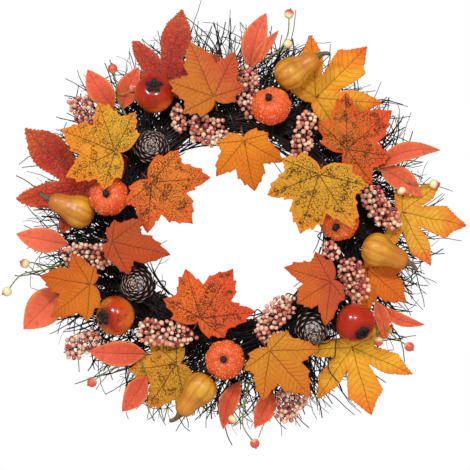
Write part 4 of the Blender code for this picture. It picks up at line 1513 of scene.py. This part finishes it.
def build_berries(settings):
    recipe = pearl_recipe(pearl_finish("pearl"))
    stalk = stem_finish("berry stalk", dye(84, 50, 40), dye(58, 34, 30))
    for number in range(1, 12):
        node = f"berry_spray_{number}"
        item = turned(node)
        build_spray(node, number, recipe, stalk, settings, *merged(node), item.start, item.end)
    for number, (angle, out, depth, heading, size) in enumerate(LOOSE_SPRAYS, start=12):
        spot = polar(angle, RING_RADIUS + out * MM, depth * MM)
        points, triangles, start, end = spray_shape(spot, heading, [v * MM for v in size])
        build_spray(f"berry_spray_{number}", number, recipe, stalk, settings, points, triangles, start, end)


# ---- rose hip picks ----------------------------------------------------------------------------
CORAL_CLOTH = 0.5 * MM       # thickness of the coral leaves
Blade = namedtuple("Blade", "angle out turn length width arch bow", defaults=(0.03,))
Pick = namedtuple("Pick", "root fork hips color blades")
PICKS = {
    "rosehip_pick_1": Pick((134, 40), (131, 66), [(127, 88, 1.0), (125, 61, 0.95)], dye(202, 74, 40),
                           [Blade(135, 58, -14, 46, 24, 0.10), Blade(133, 52, -61, 44, 22, -0.06)]),
    "rosehip_pick_2": Pick((192, 50), (193, 83), [(190, 100, 0.4), (196, 123, 0.2)], dye(216, 90, 56),
                           [Blade(186, 56, -20, 52, 24, 0.05), Blade(200, 70, 24, 56, 34, 0.08)]),
    "rosehip_pick_3": Pick((85, 50), (75, 73), [(75, 110, 0.55), (73, 82, 0.1)], dye(202, 78, 48),
                           [Blade(84, 50, -12, 58, 24, 0.06), Blade(83, 51, -26, 46, 11, 0.12)]),
    "rosehip_pick_4": Pick((22, 46), (18, 62), [(12, 96, 0.3), (12, 64, 0.35)], dye(204, 80, 44),
                           [Blade(22, 46, -4, 66, 18, 0.16, 0.13), Blade(22, 50, -56, 50, 22, 0.06)]),
    "rosehip_pick_5": Pick((236, 44), (230, 74), [(228, 98, 0.95)], dye(202, 72, 42),
                           [Blade(236, 44, -61, 56, 25, 0.05), Blade(240, 62, -6, 42, 22, 0.04)]),
    "rosehip_pick_6": Pick((277, 45), (274, 68), [(270, 83, 0.45), (276, 107, 0.9)], dye(202, 70, 34),
                           [Blade(273, 46, -24, 50, 18, 0.05, -0.05), Blade(284, 60, -43, 40, 20, 0.06)]),
    "rosehip_pick_7": Pick((333, 52), (328, 66), [(322, 76, 0.6), (326, 103, 0.95)], dye(204, 76, 38),
                           [Blade(333, 52, -46, 40, 14, 0.08), Blade(332, 58, 2, 48, 12, 0.10, -0.08)]),
}
# Half outline of a coral leaf: (share of its length, share of half its width).
BLADE_OUTLINE = [(0.0, 0.05), (0.05, 0.22), (0.12, 0.48), (0.22, 0.78), (0.34, 0.96), (0.46, 1.0),
                 (0.58, 0.93), (0.70, 0.76), (0.80, 0.55), (0.89, 0.33), (0.95, 0.16), (1.0, 0.0)]


def blade_width(t):
    for (a, wa), (b, wb) in zip(BLADE_OUTLINE, BLADE_OUTLINE[1:]):
        if t <= b:
            return wa + (wb - wa) * (t - a) / (b - a)
    return 0.0


def add_blade(bm, layers, base, heading, blade, thickness, rng):
    """One pointed leaf with a pressed midrib, a gentle arch and fine teeth."""
    vein_uv, rim_layer = layers
    front = Vector((0, -1, 0))
    right = heading.cross(front)
    rows, half = 34, 6
    phase = rng.uniform(0, 6)
    flat = {}
    skins = []
    for side in (1, -1):
        grid = []
        for i in range(rows + 1):
            t = i / rows
            width = blade_width(t) * blade.width * MM / 2
            width += (0.35 * MM if i % 2 and 0.1 < t < 0.97 else 0.0)
            row = []
            for k in range(-half, half + 1):
                s = k / half
                z = (blade.arch * math.sin(math.pi * t) - 0.10 * t * t) * blade.length * MM
                z += abs(s) * width * 0.22 - math.exp(-(s * 5) ** 2) * 0.4 * MM
                z += 0.5 * MM * math.sin(9 * t + phase + 2 * s) * abs(s)
                z += side * thickness / 2 * (0.3 if abs(k) == half or i in (0, rows) else 1)
                bow = 4 * blade.bow * t * (1 - t)
                sway = (0.05 * math.sin(2.2 * t + phase) * t - bow) * blade.length * MM
                spot = base + heading * t * blade.length * MM + right * (s * width + sway) + front * z
                vert = bm.verts.new(spot)
                vert[rim_layer] = max(abs(s), 1 - (1 - t) * 6)
                flat[vert] = (t, s * width / (blade.length * MM))
                row.append(vert)
            grid.append(row)
        skins.append(grid)
    faces = []
    for grid, flip in ((skins[0], False), (skins[1], True)):
        for low, high in zip(grid, grid[1:]):
            for k in range(2 * half):
                quad = (low[k], low[k + 1], high[k + 1], high[k])
                faces.append(bm.faces.new(quad[::-1] if flip else quad))
    top, under = skins
    border = ([(i, 0) for i in range(rows)] + [(rows, k) for k in range(2 * half)]
              + [(i, 2 * half) for i in range(rows, 0, -1)] + [(0, k) for k in range(2 * half, 0, -1)])
    for (i, k), (m, n) in zip(border, border[1:] + border[:1]):
        faces.append(bm.faces.new((top[i][k], top[m][n], under[m][n], under[i][k])))
    for face in faces:
        face.smooth = True
        for loop in face.loops:
            loop[vein_uv].uv = flat[loop.vert]
    face_outward(bm, faces)


def pick_leaves(node, pick, spot, rng):
    """The two coral leaves of a pick; `spot` turns degrees and millimetres out into a place."""
    bm = bmesh.new()
    layers = (bm.loops.layers.uv.new("vein"), bm.verts.layers.float.new("rim"))
    for blade in pick.blades:
        heading = math.radians(blade.angle + blade.turn)
        outward = Vector((math.cos(heading), 0, math.sin(heading)))
        add_blade(bm, layers, spot(blade.angle, blade.out), outward, blade, CORAL_CLOTH, rng)
    cloth = coral_finish(f"{node} cloth", pick.color)
    fit(add_object(f"{node}_leaves", mesh_from(node, bm), cloth), "coral_leaf", node)


def pick_stems(node, pick, spot, rng, radius, green):
    """The stem from behind the ring to its fork, and its branches to the hips and leaves."""
    root, fork = spot(*pick.root), spot(*pick.fork)
    bm = bmesh.new()
    bow = Vector((rng.uniform(-2, 2), -2.5, rng.uniform(-2, 2))) * MM
    back = root - (fork - root).normalized() * 16 * MM + Vector((0, 10, 0)) * MM
    tube(bm, smooth_line([back, root, (root + fork) / 2 + bow * 0.5, fork], 5), radius, 7)
    for angle, out, _ in pick.hips:
        end = spot(angle, out)
        middle = (fork + end) / 2 + bow + Vector((end.z - fork.z, 0, fork.x - end.x)) * 0.12
        tube(bm, smooth_line([fork, middle, end], 6), radius * 0.85, 7)
    for blade in pick.blades:
        base = spot(blade.angle, blade.out)
        tube(bm, smooth_line([root + (fork - root) * 0.2, base], 3), radius * 0.7, 6)
    fit(add_object(f"{node}_stems", mesh_from(node, bm), green), "green_stem")


def pick_hips(node, pick, spot, radius, dark_tip):
    """The glossy hips with their dark tips, each in a skin of its own colour."""
    profile = arc_profile(1.04, 0.12, 16, 5, 175)
    for index, (angle, out, blush) in enumerate(pick.hips, start=1):
        end = spot(angle, out)
        away = (end - spot(*pick.fork)).normalized()
        item = Turned(end - away * radius, end + away * radius, end, radius)
        bm = bmesh.new()
        turned_body(bm, item, profile, 24)
        face_outward(bm)
        skin_uv(bm, item, 2.08 * radius)
        tip = end + away * radius * 0.9
        tube(bm, [tip, tip + away * radius * 0.32], [radius * 0.24, radius * 0.13], 8, material=1)
        skin = hip_finish(f"{node} hip {index}", blush)
        fit(add_object(f"{node}_hip_{index}", mesh_from(node, bm), skin, dark_tip), "rose_hip")


def build_picks(settings):
    green = stem_finish("green stem", dye(138, 142, 62), dye(96, 92, 40))
    dark_tip = calyx_finish("hip tip")
    for number, (node, pick) in enumerate(PICKS.items()):
        low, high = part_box(node)
        depth = -(low.y + high.y) / 2

        def spot(angle, out):
            return polar(angle, RING_RADIUS + out * MM, depth)

        rng = random.Random(40 + number)
        pick_leaves(node, pick, spot, rng)
        pick_stems(node, pick, spot, rng, settings.stem_radius, green)
        pick_hips(node, pick, spot, settings.hip_radius, dark_tip)


# ---- stage -------------------------------------------------------------------------------------
def build_stage(settings):
    scene = bpy.context.scene
    scene.view_settings.view_transform = "Standard"
    middle = Vector((RING_CENTRE.x + 2.9 * MM, 0, RING_CENTRE.z - 7.7 * MM))
    decoration_depth = 38 * MM
    sensor = 36.0
    distance = settings.view_width * settings.lens / sensor + decoration_depth
    camera = bpy.data.objects.new("camera", bpy.data.cameras.new("camera"))
    camera.data.lens = settings.lens
    camera.data.sensor_width = sensor
    camera.location = middle + Vector((0, -distance, 0))
    camera.rotation_euler = (math.pi / 2, 0, 0)
    scene.collection.objects.link(camera)
    scene.camera = camera
    lamps = (("key left", (-0.8, -1.45, 0.85), 0.20, settings.key_power * 0.55),
             ("key right", (0.15, -1.65, 0.80), 0.20, settings.key_power * 0.45),
             ("fill", (1.3, -1.3, -0.1), 1.4, settings.key_power * 0.35),
             ("rim", (0.2, 1.2, 0.9), 1.2, settings.key_power * 0.4))
    for name, place, size, power in lamps:
        lamp = bpy.data.lights.new(name, "AREA")
        lamp.energy = power
        lamp.size = size
        holder = bpy.data.objects.new(name, lamp)
        holder.location = middle + Vector(place)
        holder.rotation_euler = (-Vector(place)).to_track_quat("-Z", "Y").to_euler()
        holder.visible_glossy = name.startswith("key")
        scene.collection.objects.link(holder)
    bm = bmesh.new()
    bmesh.ops.create_cone(bm, cap_ends=True, segments=96, radius1=0.95, radius2=0.95, depth=0.01,
                          matrix=Matrix.Translation((0, 0, CAD_BOX[0][2] - 0.20)))
    floor = add_object("floor", mesh_from("floor", bm), floor_finish("pale floor"))
    floor.visible_glossy = False
    world = bpy.data.worlds.new("white studio")
    world.use_nodes = True
    scene.world = world
    g = Graph(world.node_tree)
    path = g.make("ShaderNodeLightPath")
    seen = path["Is Camera Ray"]
    background = world.node_tree.nodes["Background"]
    g.feed(background.inputs["Color"], (1.0, 1.0, 1.0))
    glow = path["Is Glossy Ray"] * -0.8 + 1.0
    g.feed(background.inputs["Strength"], seen + (1.0 - seen) * (glow * settings.ambient))


# ---- operators ---------------------------------------------------------------------------------
def piece_operator(key, label, words, setting, build):
    """An operator class that runs one builder with its group of settings."""
    def execute(self, context):
        build(getattr(context.scene, setting))
        return {"FINISHED"}
    return type(f"WREATH_OT_{key}", (bpy.types.Operator,), {
        "bl_idname": f"wreath.{key}", "bl_label": label, "__doc__": words, "execute": execute,
        "bl_options": {"REGISTER", "UNDO"}})


OPERATORS = [
    piece_operator("ring", "Ring and Wires", "Build the vine ring, its wires and the hanging loop",
                   "wreath_ring", build_ring),
    piece_operator("twigs", "Twigs", "Build the fans of twigs", "wreath_twigs", build_twigs),
    piece_operator("leaves", "Maple Leaves", "Build the cloth maple leaves", "wreath_leaves", build_leaves),
    piece_operator("pumpkins", "Pumpkins", "Build the beaded pumpkins", "wreath_fruit", build_pumpkins),
    piece_operator("persimmons", "Persimmons", "Build the lacquered persimmons", "wreath_fruit",
                   build_persimmons),
    piece_operator("gourds", "Gourds", "Build the gourds", "wreath_fruit", build_gourds),
    piece_operator("cones", "Pine Cones", "Build the pine cones", "wreath_cones", build_cones),
    piece_operator("berries", "Berry Sprays", "Build the pearl berry sprays", "wreath_berries",
                   build_berries),
    piece_operator("picks", "Rose Hip Picks", "Build the rose hips and coral leaves", "wreath_berries",
                   build_picks),
    piece_operator("stage", "Stage", "Build the floor, the lights and the camera", "wreath_stage",
                   build_stage),
]


class WREATH_PT_panel(bpy.types.Panel):
    """Lists the wreath's builders in the sidebar."""

    bl_idname = "WREATH_PT_panel"
    bl_label = "Harvest Door Wreath"
    bl_space_type = "VIEW_3D"
    bl_region_type = "UI"
    bl_category = "Wreath"

    def draw(self, context):
        for operator in OPERATORS:
            self.layout.operator(operator.bl_idname)


def register():
    for name, group in SETTINGS.items():
        bpy.utils.register_class(group)
        setattr(bpy.types.Scene, name, PointerProperty(type=group))
    for cls in (*OPERATORS, WREATH_PT_panel):
        bpy.utils.register_class(cls)


def unregister():
    for cls in (WREATH_PT_panel, *reversed(OPERATORS)):
        bpy.utils.unregister_class(cls)
    for name, group in reversed(SETTINGS.items()):
        delattr(bpy.types.Scene, name)
        bpy.utils.unregister_class(group)


def main():
    register()
    for operator in OPERATORS:
        key = operator.bl_idname.split(".")[1]
        getattr(bpy.ops.wreath, key)()
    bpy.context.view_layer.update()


if __name__ == "__main__":
    main()
